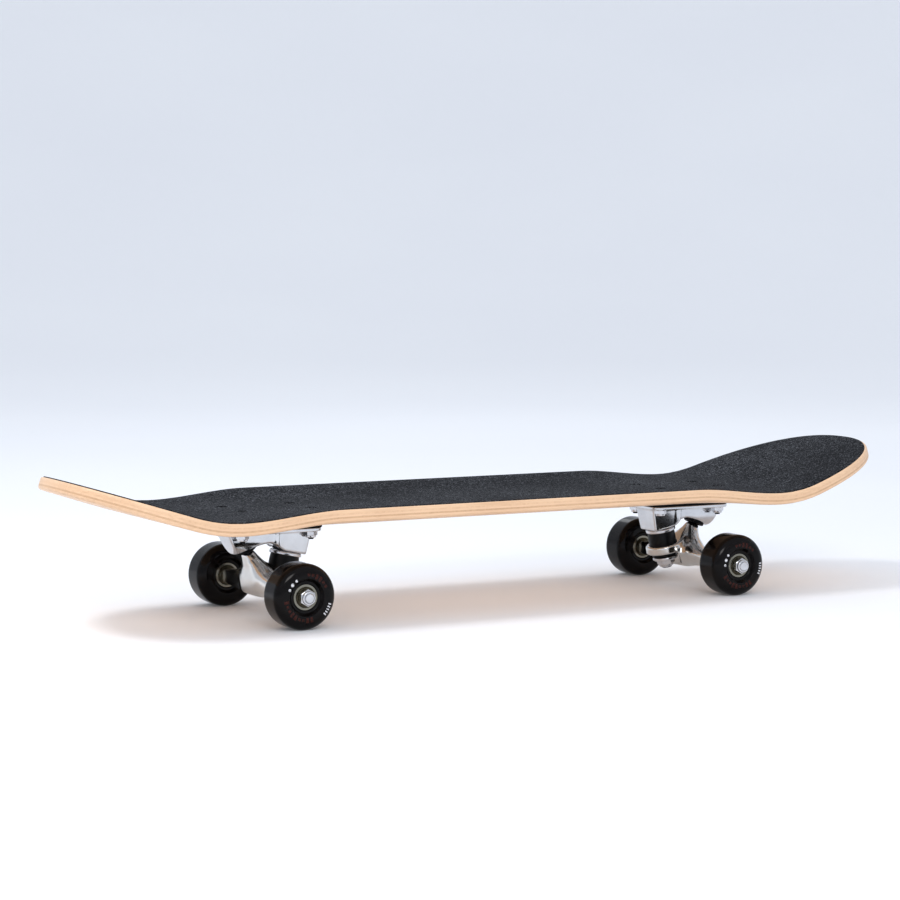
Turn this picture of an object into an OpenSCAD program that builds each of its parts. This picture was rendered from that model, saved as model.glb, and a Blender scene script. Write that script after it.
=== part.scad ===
// Skateboard: a pressed maple deck on two sprung steering trucks with four ball-bearing wheels.
// Frame: origin on the floor under the middle of the wheelbase. +X is the nose, +Y the left
// side, +Z up. All sizes are in millimetres.

/* [Deck] */
// Width of the deck along its middle
deck_w = 203.2; // [180:0.1:250]
// Number of veneers pressed together
ply_count = 7; // [6:1:9]
// Thickness of one veneer
ply_t = 1.5; // [1.2:0.05:1.8]
// Thickness of the grip tape
grip_t = 0.8; // [0.5:0.1:1.5]
// Height that the long edges rise above the flat strip
concave_rise = 7.3; // [2:0.1:12]
// Width of the flat strip down the middle
flat_w = 60; // [58:1:90]
// Length over which the concave fades out before each kick
concave_fade = 90; // [50:5:120]
// Radius that both kicks are bent to
bend_r = 136; // [90:2:200]
// Angle of the nose kick
nose_angle = 17.5; // [8:0.5:26]
// Angle of the tail kick
tail_angle = 17.7; // [8:0.1:26]
// Distance from the outer nose bolts to the start of the nose bend
nose_gap = 14; // [10:1:40]
// Distance from the outer tail bolts to the start of the tail bend
tail_gap = 34; // [10:1:50]
// Straight length of the nose beyond its bend
nose_flat = 110.7; // [80:0.1:140]
// Straight length of the tail beyond its bend
tail_flat = 89.3; // [80:0.1:140]
// Length over which the outline narrows to the tip of the nose
nose_taper = 139; // [100:1:145]
// Length over which the outline narrows to the tip of the tail
tail_taper = 130; // [100:1:130]
// Squareness of both ends, where 2 is an ellipse
end_power = 2.33; // [2:0.01:3]

/* [Bolt pattern] */
// Distance between the inner bolts of the two trucks
wheelbase = 355.6; // [290:0.1:430]
// Bolt spacing along the board
pattern_l = 63.5; // [53:0.1:70]
// Bolt spacing across the board
pattern_w = 41.3; // [40:0.1:46]
// Diameter of the mounting bolts
bolt_d = 4.8; // [4:0.1:5.5]
// Diameter of the countersunk bolt heads
bolt_head_d = 9.6; // [8:0.1:11]
// Depth of the countersunk bolt heads
bolt_head_h = 2.6; // [2:0.1:4]
// Length of bolt that shows below its nut
bolt_tip = 1.3; // [0.5:0.1:6]
// Hexagon size of the mounting nuts
nut_af = 9.5; // [8:0.1:10]
// Height of the mounting nuts
nut_h = 5.6; // [4:0.1:7]

/* [Truck] */
// Height from the axle centre to the top of the baseplate
truck_h = 49; // [46:0.5:58]
// Thickness of the riser pad
riser_t = 5; // [1:0.5:13]
// Thickness of the baseplate's flange
plate_t = 3.4; // [3:0.1:6]
// Flange beyond the bolts at each end
plate_end = 9.8; // [8:0.1:14]
// Flange beyond the bolts at each side
plate_side = 7.7; // [6:0.1:12]
// Distance of the axle outward from the middle of the bolt pattern
axle_out = 7; // [5:0.5:12]
// Width across the hanger's shoulders
hanger_w = 130; // [110:1:160]
// Hexagon size of the axle nuts
axle_nut_af = 12.7; // [12:0.1:14]
// Height of the axle nuts
axle_nut_h = 6.6; // [5:0.1:9]
// Length of axle that shows beyond its nut
axle_tip = 1.2; // [0.2:0.1:3]

/* [Kingpin and bushings] */
// Lean of the kingpin, its lower end outward
kingpin_tilt = 12; // [8:0.5:16]
// Diameter of the kingpin
kingpin_d = 9.5; // [8:0.1:10]
// Distance of the kingpin's seat inward from the middle of the bolt pattern
kingpin_in = 18; // [16:0.5:22]
// Depth of the kingpin's seat below the baseplate's top
kingpin_drop = 22; // [20:0.5:25]
// Hexagon size of the kingpin's head and nut
kingpin_nut_af = 14.3; // [13:0.1:15]
// Height of the kingpin's nut
kingpin_nut_h = 6.5; // [5:0.1:9]
// Height of the kingpin's head
kingpin_head_h = 5; // [4:0.1:6]
// Thickness of the bushing washers
washer_t = 1.5; // [1:0.1:2]
// Height of the washers' rims
washer_rim = 1.7; // [1:0.1:2.5]
// Diameter of the board-side bushing
bushing_upper_d = 25; // [22:0.5:27]
// Height of the board-side bushing
bushing_upper_h = 15.5; // [12:0.1:19]
// Diameter of the road-side bushing
bushing_lower_d = 21; // [18:0.5:22]
// Height of the road-side bushing
bushing_lower_h = 6.5; // [5:0.5:9]
// Diameter of the hanger's ring
ring_d = 33.4; // [31:0.1:36]
// Thickness of the hanger's ring
ring_h = 8.5; // [7:0.1:10]
// Depth of the bushing seats in the ring
seat_depth = 1.5; // [1:0.1:2]

/* [Pivot] */
// Distance of the pivot cup's mouth outward from the middle of the bolt pattern
pivot_out = 20; // [18:0.5:24]
// Depth of the pivot cup's mouth below the baseplate's top
pivot_drop = 18; // [17:0.5:20]
// Lean of the pivot cup, its mouth inward
pivot_tilt = 24; // [18:1:30]
// Diameter of the hanger's pivot nose
pivot_nose_d = 11; // [9:0.5:11.5]
// Depth of the pivot nose's centre inside the mouth
pivot_depth = 6; // [5.5:0.1:7]
// Diameter of the pivot cup in its housing
cup_d = 16; // [15:0.1:19.5]
// Width of the pivot cup's flange around the cup
cup_lip = 1.5; // [1:0.1:2.5]
// Thickness of the pivot cup's flange
cup_flange_t = 2; // [1:0.1:3]

/* [Wheel] */
// Diameter of the wheel
wheel_d = 55; // [50:0.5:66]
// Width of the wheel
wheel_w = 30.4; // [29:0.1:36]
// Radial height of the rounded lip
lip_drop = 9; // [5:0.5:10]
// Width of the rounded lip
lip_w = 7.2; // [4:0.1:9]
// Diameter of the recess around each bearing
recess_d = 31; // [28:0.5:33]

/* [Bearing] */
// Bore of the bearing
bearing_bore = 8; // [6:0.5:9]
// Outer diameter of the bearing
bearing_od = 22; // [18:0.1:26.5]
// Width of the bearing
bearing_w = 7; // [6:0.5:8]
// Diameter of each ball
ball_d = 3.97; // [3:0.01:4.1]
// Number of balls in a bearing
ball_count = 7; // [6:1:8]
// Length of the spacer between the two bearings
spacer_l = 10; // [8:0.5:12]
// Thickness of the speed washers
speed_washer_t = 0.9; // [0.5:0.1:1.5]

/* [Hidden] */

$fn = 64;
// Overlap that carries a cut past a face
cut = 1;
// Radial clearance of a bolt or pin in a hole of its own body
hole_clear = 0.2;
// Radial clearance of a running fit
run_clear = 0.05;
// Radial clearance of the axle in its bearings
pin_clear = 0.03;
// Clearance between a bushing and the seat that it presses into
seat_clear = 0.3;

// Heights, from the floor up
axle_z = wheel_d / 2;
plate_top = axle_z + truck_h;
plate_bottom = plate_top - plate_t;
deck_bottom = plate_top + riser_t;
deck_t = ply_count * ply_t;
deck_top = deck_bottom + deck_t;

// Places along the board
pattern_x = (wheelbase + pattern_l) / 2;
outer_bolt_x = (wheelbase + 2 * pattern_l) / 2;

// Places across the board
wheel_y = hanger_w / 2 + speed_washer_t + bearing_w + spacer_l / 2;
axle_nut_y = hanger_w / 2 + 2 * speed_washer_t + 2 * bearing_w + spacer_l;
axle_l = 2 * (axle_nut_y + axle_nut_h + axle_tip);

// Places along the kingpin, measured down from its seat
bushing_upper_s = washer_t;
ring_s = bushing_upper_s + bushing_upper_h - seat_depth;
bushing_lower_s = ring_s + ring_h - seat_depth;
washer_lower_s = bushing_lower_s + bushing_lower_h;
kingpin_nut_s = washer_lower_s + washer_t;
kingpin_end_s = kingpin_nut_s + kingpin_nut_h + 1.5;
kingpin_head_s = -14;

// Places in the pivot, measured from its mouth
cup_flange_d = cup_d + 2 * cup_lip;
cup_h = pivot_depth + cup_d / 2;

// Wheel and bearing radii
bore_r = bearing_bore / 2;
axle_r = bore_r - pin_clear;
race_r = bearing_od / 2;
pitch_r = (race_r + bore_r) / 2;
race_gap = 1.2;
groove_r = ball_d / 2 + run_clear;
shield_t = 0.35;
shield_inset = 0.15;
core_r = race_r - 1.4;

// ---- Deck surface ----

function clamp(q) = min(1, max(0, q));
function smooth(q) = q * q * (3 - 2 * q);
function bend_start(nose) = outer_bolt_x + (nose ? nose_gap : tail_gap);
function kick_angle(nose) = nose ? nose_angle : tail_angle;
function kick_flat(nose) = nose ? nose_flat : tail_flat;
function taper(nose) = nose ? nose_taper : tail_taper;
function bend_end(nose) = bend_start(nose) + bend_r * kick_angle(nose) * PI / 180;
function half_length(nose) = bend_end(nose) + kick_flat(nose);

// Angle, distance along X and height of the pressed sheet at s, measured along the sheet
function fold(s) =
  min(kick_angle(s > 0), max(0, (abs(s) - bend_start(s > 0)) / bend_r * 180 / PI));
function straight(s) = max(0, abs(s) - bend_end(s > 0));
function sheet_x(s) =
  sign(s) * (min(abs(s), bend_start(s > 0)) + bend_r * sin(fold(s))
             + straight(s) * cos(kick_angle(s > 0)));
function sheet_z(s) = bend_r * (1 - cos(fold(s))) + straight(s) * sin(kick_angle(s > 0));

// Rise of the concave at s and at y across the board
function fade(s) =
  1 - smooth(clamp((abs(s) - bend_start(s > 0) + concave_fade) / concave_fade));
function concave(s, y) =
  concave_rise * fade(s) * pow(max(0, abs(y) - flat_w / 2) / (deck_w - flat_w) * 2, 2);

// Half of the outline's width at s
function narrowing(s) = clamp((abs(s) - half_length(s > 0)) / taper(s > 0) + 1);
function half_width(s) = deck_w / 2 * pow(1 - pow(narrowing(s), end_power), 1 / end_power);

// Point of the sheet at s and y, at a height above the top veneer
function sheet_point(s, y, height) =
  let (h = concave(s, y) + height)
  [sheet_x(s) - sign(s) * sin(fold(s)) * h, y, sheet_z(s) + cos(fold(s)) * h];

// Stations along one half: even steps to where the outline narrows, then steps around the tip
concave_steps = 12;
tip_step = 6;
last_tip_angle = 88;
function half_stations(nose) =
  let (first = bend_start(nose) - concave_fade, last = half_length(nose) - taper(nose))
  concat(
    [for (k = [0:concave_steps]) first + (last - first) * k / concave_steps],
    [for (a = [tip_step:tip_step:last_tip_angle - 1]) last + taper(nose) * pow(sin(a), 2 / end_power)],
    [last + taper(nose) * pow(sin(last_tip_angle), 2 / end_power)]
  );
nose_stations = half_stations(true);
tail_stations = half_stations(false);
tail_count = len(tail_stations);
stations = concat([for (k = [1:tail_count]) -tail_stations[tail_count - k]], nose_stations);

// Lanes across the board, as shares of the half width, with the flat strip between two of them
lane_steps = 5;
flat_share = flat_w / deck_w;
side_lanes = [for (k = [0:lane_steps]) flat_share + (1 - flat_share) * k / lane_steps];
lanes = concat([for (k = [0:lane_steps]) -side_lanes[lane_steps - k]], side_lanes);

module sheet(low, high) {
  rows = len(stations);
  cols = len(lanes);
  layer = rows * cols;
  points = [
    for (height = [high, low])
      for (s = stations)
        for (share = lanes) sheet_point(s, share * half_width(s), height)
  ];
  upper = [
    for (i = [0:rows - 2])
      for (j = [0:cols - 2])
        let (a = i * cols + j, b = a + cols)
        for (f = [[a, a + 1, b + 1], [a, b + 1, b]]) f
  ];
  lower = [for (f = upper) [f[0] + layer, f[2] + layer, f[1] + layer]];
  right = [
    for (i = [0:rows - 2])
      let (a = i * cols, b = a + cols)
      for (f = [[a + layer, a, b], [a + layer, b, b + layer]]) f
  ];
  left = [
    for (i = [0:rows - 2])
      let (a = i * cols + cols - 1, b = a + cols)
      for (f = [[a + layer, b, a], [a + layer, b + layer, b]]) f
  ];
  back = [
    for (j = [0:cols - 2])
      let (a = j, b = a + 1)
      for (f = [[b + layer, b, a], [b + layer, a, a + layer]]) f
  ];
  front = [
    for (j = [0:cols - 2])
      let (a = layer - cols + j, b = a + 1)
      for (f = [[b + layer, a, b], [b + layer, a + layer, a]]) f
  ];
  translate([0, 0, deck_top])
    polyhedron(points = points, faces = concat(upper, lower, right, left, back, front));
}

module at_bolts() {
  for (x = [-pattern_l / 2, pattern_l / 2])
    for (y = [-pattern_w / 2, pattern_w / 2])
      translate([x, y, 0]) children();
}

module deck() {
  color("burlywood")
    difference() {
      sheet(-deck_t, 0);
      for (end = ["nose", "tail"])
        at_truck(end)
          at_bolts() {
            translate([0, 0, deck_bottom - cut])
              cylinder(r = bolt_d / 2 + hole_clear, h = deck_t + 2 * cut);
            translate([0, 0, deck_top - bolt_head_h])
              cylinder(r1 = bolt_d / 2 + hole_clear, r2 = bolt_head_d / 2 + hole_clear, h = bolt_head_h);
          }
    }
}

module griptape() {
  color("dimgray")
    difference() {
      sheet(0, grip_t);
      for (end = ["nose", "tail"])
        at_truck(end)
          at_bolts()
            translate([0, 0, deck_top - cut])
              cylinder(r = bolt_head_d / 2 + hole_clear, h = grip_t + 2 * cut);
    }
}

// ---- Frames that the truck's and the wheel's pieces are drawn in ----

// Truck frame: origin on the floor under the middle of the bolt pattern, +X outward
module at_truck(end) {
  translate([end == "nose" ? pattern_x : -pattern_x, 0, 0])
    rotate([0, 0, end == "nose" ? 0 : 180])
      children();
}

// Kingpin frame: origin at the kingpin's seat, +Z down along the kingpin
module at_kingpin(s = 0) {
  translate([-kingpin_in, 0, plate_top - kingpin_drop])
    rotate([0, 180 - kingpin_tilt, 0])
      translate([0, 0, s])
        children();
}

// Pivot frame: origin at the middle of the pivot cup's mouth, +Z into the cup
module at_pivot(depth = 0) {
  translate([pivot_out, 0, plate_top - pivot_drop])
    rotate([0, pivot_tilt, 0])
      translate([0, 0, depth])
        children();
}

// Axle frame: origin at the middle of the axle, +Z along it to the given side
module at_axle(side) {
  translate([axle_out, 0, axle_z])
    rotate([side > 0 ? -90 : 90, 0, 0])
      children();
}

// Wheel frame: origin at the wheel's centre, +Z outward along the axle
module at_wheel(end, side) {
  left = side == "left" ? 1 : -1;
  translate([(end == "nose" ? 1 : -1) * (pattern_x + axle_out), left * wheel_y, axle_z])
    rotate([-90 * left, 0, 0])
      children();
}

module at_bearings() {
  for (z = [-1, 1])
    translate([0, 0, z * (spacer_l + bearing_w) / 2])
      children();
}

// ---- Profiles that repeat ----

module tube(r_in, r_out, h) {
  difference() {
    cylinder(r = r_out, h = h);
    translate([0, 0, -cut]) cylinder(r = r_in, h = h + 2 * cut);
  }
}

module round_rectangle(l, w, r) {
  square([l - 2 * r, w], center = true);
  square([l, w - 2 * r], center = true);
  for (x = [-1, 1])
    for (y = [-1, 1])
      translate([x * (l / 2 - r), y * (w / 2 - r)]) circle(r = r);
}

// Lock nut standing on z = 0: a hexagon with a round collar, bored right through
module lock_nut(af, h, bore) {
  hex_h = h * 0.68;
  difference() {
    union() {
      cylinder(d = af / cos(30), h = hex_h, $fn = 6);
      cylinder(d1 = af * 0.98, d2 = af * 0.86, h = h);
    }
    translate([0, 0, -cut]) cylinder(r = bore, h = h + 2 * cut);
  }
}

// ---- Truck: the fixed pieces ----

module riser_pad(end) {
  color("black")
    at_truck(end)
      translate([0, 0, plate_top])
        difference() {
          linear_extrude(riser_t)
            round_rectangle(pattern_l + 2 * plate_end + 1, pattern_w + 2 * plate_side + 1, 10);
          translate([0, 0, -cut])
            at_bolts()
              cylinder(r = bolt_d / 2 + hole_clear, h = riser_t + 2 * cut);
        }
}

// Side view of the casting under the flange, with heights measured from the flange's top
kingpin_toe = 13.5;
kingpin_heel = 10;
mouth_reach = cup_d / 2 + 5;
kingpin_seat = [-kingpin_in, -kingpin_drop];
kingpin_across = [cos(kingpin_tilt), sin(kingpin_tilt)];
mouth = [pivot_out, -pivot_drop];
mouth_across = [cos(pivot_tilt), -sin(pivot_tilt)];
arch = [-2.5, -13];
plate_half = pattern_l / 2 + plate_end;
module casting_side() {
  polygon([
    [5.5 - plate_half, -plate_t / 2],
    kingpin_seat - kingpin_toe * kingpin_across,
    kingpin_seat + kingpin_heel * kingpin_across,
    arch,
    mouth - mouth_reach * mouth_across,
    mouth + mouth_reach * mouth_across,
    [plate_half - 2, -plate_t - 4],
    [plate_half - 1, -plate_t / 2]
  ]);
}

// Width of the kingpin block between the nuts and at its foot, and of the pivot housing
nut_room = 0.365;
block_top_w = pattern_w - nut_af / cos(30) - 2 * nut_room;
block_foot_w = block_top_w - 3.1;
housing_w = cup_d + 9;
module casting() {
  block_h = kingpin_drop + kingpin_toe * sin(kingpin_tilt);
  intersection() {
    rotate([90, 0, 0])
      translate([0, 0, -pattern_w / 2]) linear_extrude(pattern_w) casting_side();
    union() {
      translate([-plate_half, 0, 0])
        rotate([90, 0, 90])
          linear_extrude(plate_half - kingpin_in + kingpin_heel + 4)
            polygon([
              [-block_top_w / 2, 0], [-block_foot_w / 2, -block_h],
              [block_foot_w / 2, -block_h], [block_top_w / 2, 0]
            ]);
      translate([kingpin_heel - kingpin_in, 0, 0])
        rotate([90, 0, 90])
          linear_extrude(plate_half + kingpin_in) {
            translate([0, -pivot_drop - mouth_reach * sin(pivot_tilt) + housing_w / 2])
              circle(d = housing_w);
            translate([-housing_w / 2, -pivot_drop - mouth_reach * sin(pivot_tilt) + housing_w / 2])
              square([housing_w, pivot_drop]);
          }
    }
  }
}

module baseplate(end) {
  color("silver")
    at_truck(end)
      difference() {
        union() {
          translate([0, 0, plate_bottom])
            linear_extrude(plate_t)
              round_rectangle(2 * plate_half, pattern_w + 2 * plate_side, 10);
          translate([0, 0, plate_top]) casting();
        }
        translate([0, 0, plate_bottom - cut])
          at_bolts()
            cylinder(r = bolt_d / 2 + hole_clear, h = plate_t + 2 * cut);
        at_kingpin(kingpin_head_s) cylinder(r = kingpin_d / 2 + hole_clear, h = -kingpin_head_s + cut);
        at_kingpin(kingpin_head_s - kingpin_drop)
          cylinder(d = kingpin_nut_af / cos(30) + 2 * hole_clear, h = kingpin_drop);
        at_pivot(-cut) cylinder(d = cup_d, h = cup_h + cut);
      }
}

module pivot_cup(end) {
  color("black")
    at_truck(end)
      difference() {
        union() {
          at_pivot() cylinder(d = cup_d, h = cup_h);
          at_pivot(-cup_flange_t) cylinder(d = cup_flange_d, h = cup_flange_t);
        }
        at_pivot(pivot_depth) sphere(d = pivot_nose_d + 4 * run_clear);
        at_pivot(-cup_flange_t - cut)
          cylinder(d = pivot_nose_d + 4 * run_clear, h = pivot_depth + cup_flange_t + cut);
      }
}

module kingpin(end) {
  color("silver")
    at_truck(end)
      at_kingpin() {
        translate([0, 0, kingpin_head_s])
          cylinder(d = kingpin_d, h = kingpin_end_s - kingpin_head_s);
        translate([0, 0, kingpin_head_s - kingpin_head_h])
          cylinder(d = kingpin_nut_af / cos(30), h = kingpin_head_h, $fn = 6);
      }
}

module kingpin_nut(end) {
  color("silver")
    at_truck(end)
      at_kingpin(kingpin_nut_s)
        lock_nut(kingpin_nut_af, kingpin_nut_h, kingpin_d / 2);
}

// Cupped washer standing on z = 0, with its rim upward around a bushing
module cup_washer(d) {
  tube(kingpin_d / 2 + hole_clear, d / 2, washer_t);
  translate([0, 0, washer_t / 2]) tube(d / 2 - 1, d / 2, washer_t / 2 + washer_rim);
}

module washer_upper(end) {
  color("lightgray")
    at_truck(end)
      at_kingpin()
        cup_washer(bushing_upper_d + 2 * seat_clear + 2);
}

module washer_lower(end) {
  color("lightgray")
    at_truck(end)
      at_kingpin(washer_lower_s + washer_t)
        mirror([0, 0, 1])
          cup_washer(bushing_lower_d + 2 * seat_clear + 2);
}

module bushing_upper(end) {
  color("black")
    at_truck(end)
      at_kingpin(bushing_upper_s)
        tube(kingpin_d / 2 + hole_clear, bushing_upper_d / 2, bushing_upper_h);
}

module bushing_lower(end) {
  color("black")
    at_truck(end)
      at_kingpin(bushing_lower_s)
        tube(kingpin_d / 2 + hole_clear, bushing_lower_d / 2, bushing_lower_h);
}

module mounting_bolts(end) {
  color("black")
    at_truck(end)
      at_bolts() {
        translate([0, 0, plate_bottom - nut_h - bolt_tip])
          cylinder(d = bolt_d, h = deck_top - bolt_head_h - plate_bottom + nut_h + bolt_tip);
        translate([0, 0, deck_top - bolt_head_h])
          cylinder(d1 = bolt_d, d2 = bolt_head_d, h = bolt_head_h);
        translate([0, 0, deck_top]) cylinder(d = bolt_head_d, h = grip_t / 2);
      }
}

module mounting_nuts(end) {
  color("silver")
    at_truck(end)
      at_bolts()
        translate([0, 0, plate_bottom])
          rotate([180, 0, 0])
            lock_nut(nut_af, nut_h, bolt_d / 2);
}

// ---- Truck: the pieces that steer ----

// Radii of the hanger's arm where it leaves the middle and at its shoulder
arm_root_r = 9;
arm_end_r = 6.4;
arm_root_y = 9;
arm_neck_y = 34;
stem_r = 4.2;
module arms() {
  rotate([90, 0, 0])
    rotate_extrude()
      polygon([
        [0, -hanger_w / 2], [arm_end_r, -hanger_w / 2], [arm_end_r + 0.4, -arm_neck_y],
        [arm_root_r, -arm_root_y], [arm_root_r, arm_root_y],
        [arm_end_r + 0.4, arm_neck_y], [arm_end_r, hanger_w / 2], [0, hanger_w / 2]
      ]);
}

module hanger(end) {
  relief_r = bushing_lower_d / 2 + seat_clear + 1.8;
  sway = 2.5;
  color("gainsboro")
    at_truck(end)
      difference() {
        union() {
          translate([axle_out, 0, axle_z]) arms();
          at_kingpin(ring_s) cylinder(d = ring_d, h = ring_h);
          hull() {
            at_kingpin(ring_s + 0.5) cylinder(d = ring_d - 5, h = ring_h - 1, $fn = 32);
            translate([axle_out, 0, axle_z])
              rotate([90, 0, 0]) cylinder(r = arm_root_r - 1, h = ring_d - 6, center = true, $fn = 32);
          }
          hull() {
            at_pivot(-2 * cup_flange_t) cylinder(r = stem_r - 1, h = 1, $fn = 32);
            translate([axle_out, 0, axle_z + arm_root_r])
              rotate([90, 0, 0]) cylinder(r = arm_root_r - 3, h = ring_d - 10, center = true, $fn = 32);
            translate([axle_out, 0, axle_z])
              rotate([90, 0, 0]) cylinder(r = arm_root_r - 1, h = ring_d - 4, center = true, $fn = 32);
          }
          at_pivot(-2 * cup_flange_t) cylinder(r = stem_r, h = 2 * cup_flange_t + pivot_depth);
          at_pivot(pivot_depth) sphere(d = pivot_nose_d);
        }
        at_axle(1)
          translate([0, 0, -hanger_w / 2 - cut]) cylinder(r = axle_r, h = hanger_w + 2 * cut);
        at_kingpin(ring_s - cut) cylinder(r = kingpin_d / 2 + 2.4, h = ring_h + 2 * cut);
        at_kingpin(ring_s - bushing_upper_h)
          cylinder(r = bushing_upper_d / 2 + seat_clear, h = bushing_upper_h + seat_depth);
        at_kingpin(bushing_lower_s)
          cylinder(r = bushing_lower_d / 2 + seat_clear, h = bushing_lower_h);
        for (y = [-sway, 0, sway])
          translate([0, y, 0])
            at_kingpin(ring_s + ring_h) cylinder(r = relief_r, h = kingpin_end_s);
        at_kingpin(ring_s + ring_h)
          translate([-sway, -ring_d, 0]) cube([2 * ring_d, 2 * ring_d, kingpin_end_s]);
      }
}

module axle(end) {
  color("silver")
    at_truck(end)
      at_axle(1)
        translate([0, 0, -axle_l / 2])
          cylinder(r = axle_r, h = axle_l);
}

module speed_washers(end) {
  color("silver")
    at_truck(end)
      for (side = [-1, 1])
        at_axle(side)
          for (y = [hanger_w / 2, axle_nut_y - speed_washer_t])
            translate([0, 0, y]) tube(bore_r + run_clear, bore_r + 1.8, speed_washer_t);
}

module axle_nuts(end) {
  color("silver")
    at_truck(end)
      for (side = [-1, 1])
        at_axle(side)
          translate([0, 0, axle_nut_y]) lock_nut(axle_nut_af, axle_nut_h, axle_r);
}

// ---- Wheel and its bearings ----

// Half of the wheel's section on its outer side, from the core out to the tread
lip_steps = 9;
seat_z = spacer_l / 2;
face_z = spacer_l / 2 + bearing_w;
function wheel_half() = concat(
  [[core_r, seat_z], [race_r, seat_z], [race_r, face_z], [recess_d / 2 - 1.8, face_z],
   [recess_d / 2, wheel_w / 2]],
  [for (k = [0:lip_steps])
    let (a = 90 * k / lip_steps)
    [wheel_d / 2 - lip_drop * (1 - sin(a)), wheel_w / 2 - lip_w * (1 - cos(a))]]
);
module wheel(end, side) {
  half = wheel_half();
  n = len(half);
  color([0.1, 0.05, 0.05])
    at_wheel(end, side)
      rotate_extrude()
        polygon(concat(half, [for (k = [1:n]) [half[n - k][0], -half[n - k][1]]]));
}

module bearing_outers(end, side) {
  color("silver")
    at_wheel(end, side)
      at_bearings()
        difference() {
          translate([0, 0, -bearing_w / 2]) tube(pitch_r + race_gap, race_r, bearing_w);
          rotate_extrude() translate([pitch_r, 0]) circle(r = groove_r);
        }
}

module bearing_inners(end, side) {
  color("silver")
    at_wheel(end, side)
      at_bearings()
        difference() {
          translate([0, 0, -bearing_w / 2]) tube(bore_r, pitch_r - race_gap, bearing_w);
          rotate_extrude() translate([pitch_r, 0]) circle(r = groove_r);
        }
}

module balls(end, side) {
  color("gainsboro")
    at_wheel(end, side)
      at_bearings()
        for (k = [0:ball_count - 1])
          rotate([0, 0, 360 * k / ball_count])
            translate([pitch_r, 0, 0]) sphere(d = ball_d, $fn = 32);
}

module cages(end, side) {
  cage_gap = 0.6;
  floor_z = ball_d / 2 + 0.6;
  color("goldenrod")
    at_wheel(end, side)
      at_bearings()
        difference() {
          translate([0, 0, -floor_z]) tube(pitch_r - cage_gap, pitch_r + cage_gap, floor_z + cage_gap);
          for (k = [0:ball_count - 1])
            rotate([0, 0, 360 * k / ball_count])
              translate([pitch_r, 0, 0]) sphere(r = groove_r, $fn = 32);
        }
}

module shields(end, side) {
  color("gray")
    at_wheel(end, side)
      at_bearings()
        for (z = [shield_inset - bearing_w / 2, bearing_w / 2 - shield_inset - shield_t])
          translate([0, 0, z]) tube(pitch_r - race_gap + 0.2, pitch_r + race_gap, shield_t);
}

module spacer(end, side) {
  color("silver")
    at_wheel(end, side)
      translate([0, 0, -spacer_l / 2])
        tube(bore_r + run_clear, bore_r + 1.2, spacer_l);
}

deck();
griptape();

riser_pad("nose");  // riser_pad_nose
baseplate("nose");  // baseplate_nose
pivot_cup("nose");  // pivot_cup_nose
kingpin("nose");  // kingpin_nose
kingpin_nut("nose");  // kingpin_nut_nose
washer_upper("nose");  // washer_upper_nose
bushing_upper("nose");  // bushing_upper_nose
bushing_lower("nose");  // bushing_lower_nose
washer_lower("nose");  // washer_lower_nose
hanger("nose");  // hanger_nose
axle("nose");  // axle_nose
mounting_bolts("nose");  // mounting_bolts_nose
mounting_nuts("nose");  // mounting_nuts_nose
speed_washers("nose");  // speed_washers_nose
axle_nuts("nose");  // axle_nuts_nose

riser_pad("tail");  // riser_pad_tail
baseplate("tail");  // baseplate_tail
pivot_cup("tail");  // pivot_cup_tail
kingpin("tail");  // kingpin_tail
kingpin_nut("tail");  // kingpin_nut_tail
washer_upper("tail");  // washer_upper_tail
bushing_upper("tail");  // bushing_upper_tail
bushing_lower("tail");  // bushing_lower_tail
washer_lower("tail");  // washer_lower_tail
hanger("tail");  // hanger_tail
axle("tail");  // axle_tail
mounting_bolts("tail");  // mounting_bolts_tail
mounting_nuts("tail");  // mounting_nuts_tail
speed_washers("tail");  // speed_washers_tail
axle_nuts("tail");  // axle_nuts_tail

wheel("nose", "left");  // wheel_nose_left
bearing_outers("nose", "left");  // bearing_outers_nose_left
bearing_inners("nose", "left");  // bearing_inners_nose_left
balls("nose", "left");  // balls_nose_left
cages("nose", "left");  // cages_nose_left
shields("nose", "left");  // shields_nose_left
spacer("nose", "left");  // spacer_nose_left

wheel("nose", "right");  // wheel_nose_right
bearing_outers("nose", "right");  // bearing_outers_nose_right
bearing_inners("nose", "right");  // bearing_inners_nose_right
balls("nose", "right");  // balls_nose_right
cages("nose", "right");  // cages_nose_right
shields("nose", "right");  // shields_nose_right
spacer("nose", "right");  // spacer_nose_right

wheel("tail", "left");  // wheel_tail_left
bearing_outers("tail", "left");  // bearing_outers_tail_left
bearing_inners("tail", "left");  // bearing_inners_tail_left
balls("tail", "left");  // balls_tail_left
cages("tail", "left");  // cages_tail_left
shields("tail", "left");  // shields_tail_left
spacer("tail", "left");  // spacer_tail_left

wheel("tail", "right");  // wheel_tail_right
bearing_outers("tail", "right");  // bearing_outers_tail_right
bearing_inners("tail", "right");  // bearing_inners_tail_right
balls("tail", "right");  // balls_tail_right
cages("tail", "right");  // cages_tail_right
shields("tail", "right");  // shields_tail_right
spacer("tail", "right");  // spacer_tail_right
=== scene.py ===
# Skateboard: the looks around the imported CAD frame.
# Shapes are drawn in millimetres in the frames of part.scad and stored in metres.
import math

import bmesh
import bpy
import numpy as np
from mathutils import Matrix, Vector


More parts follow.
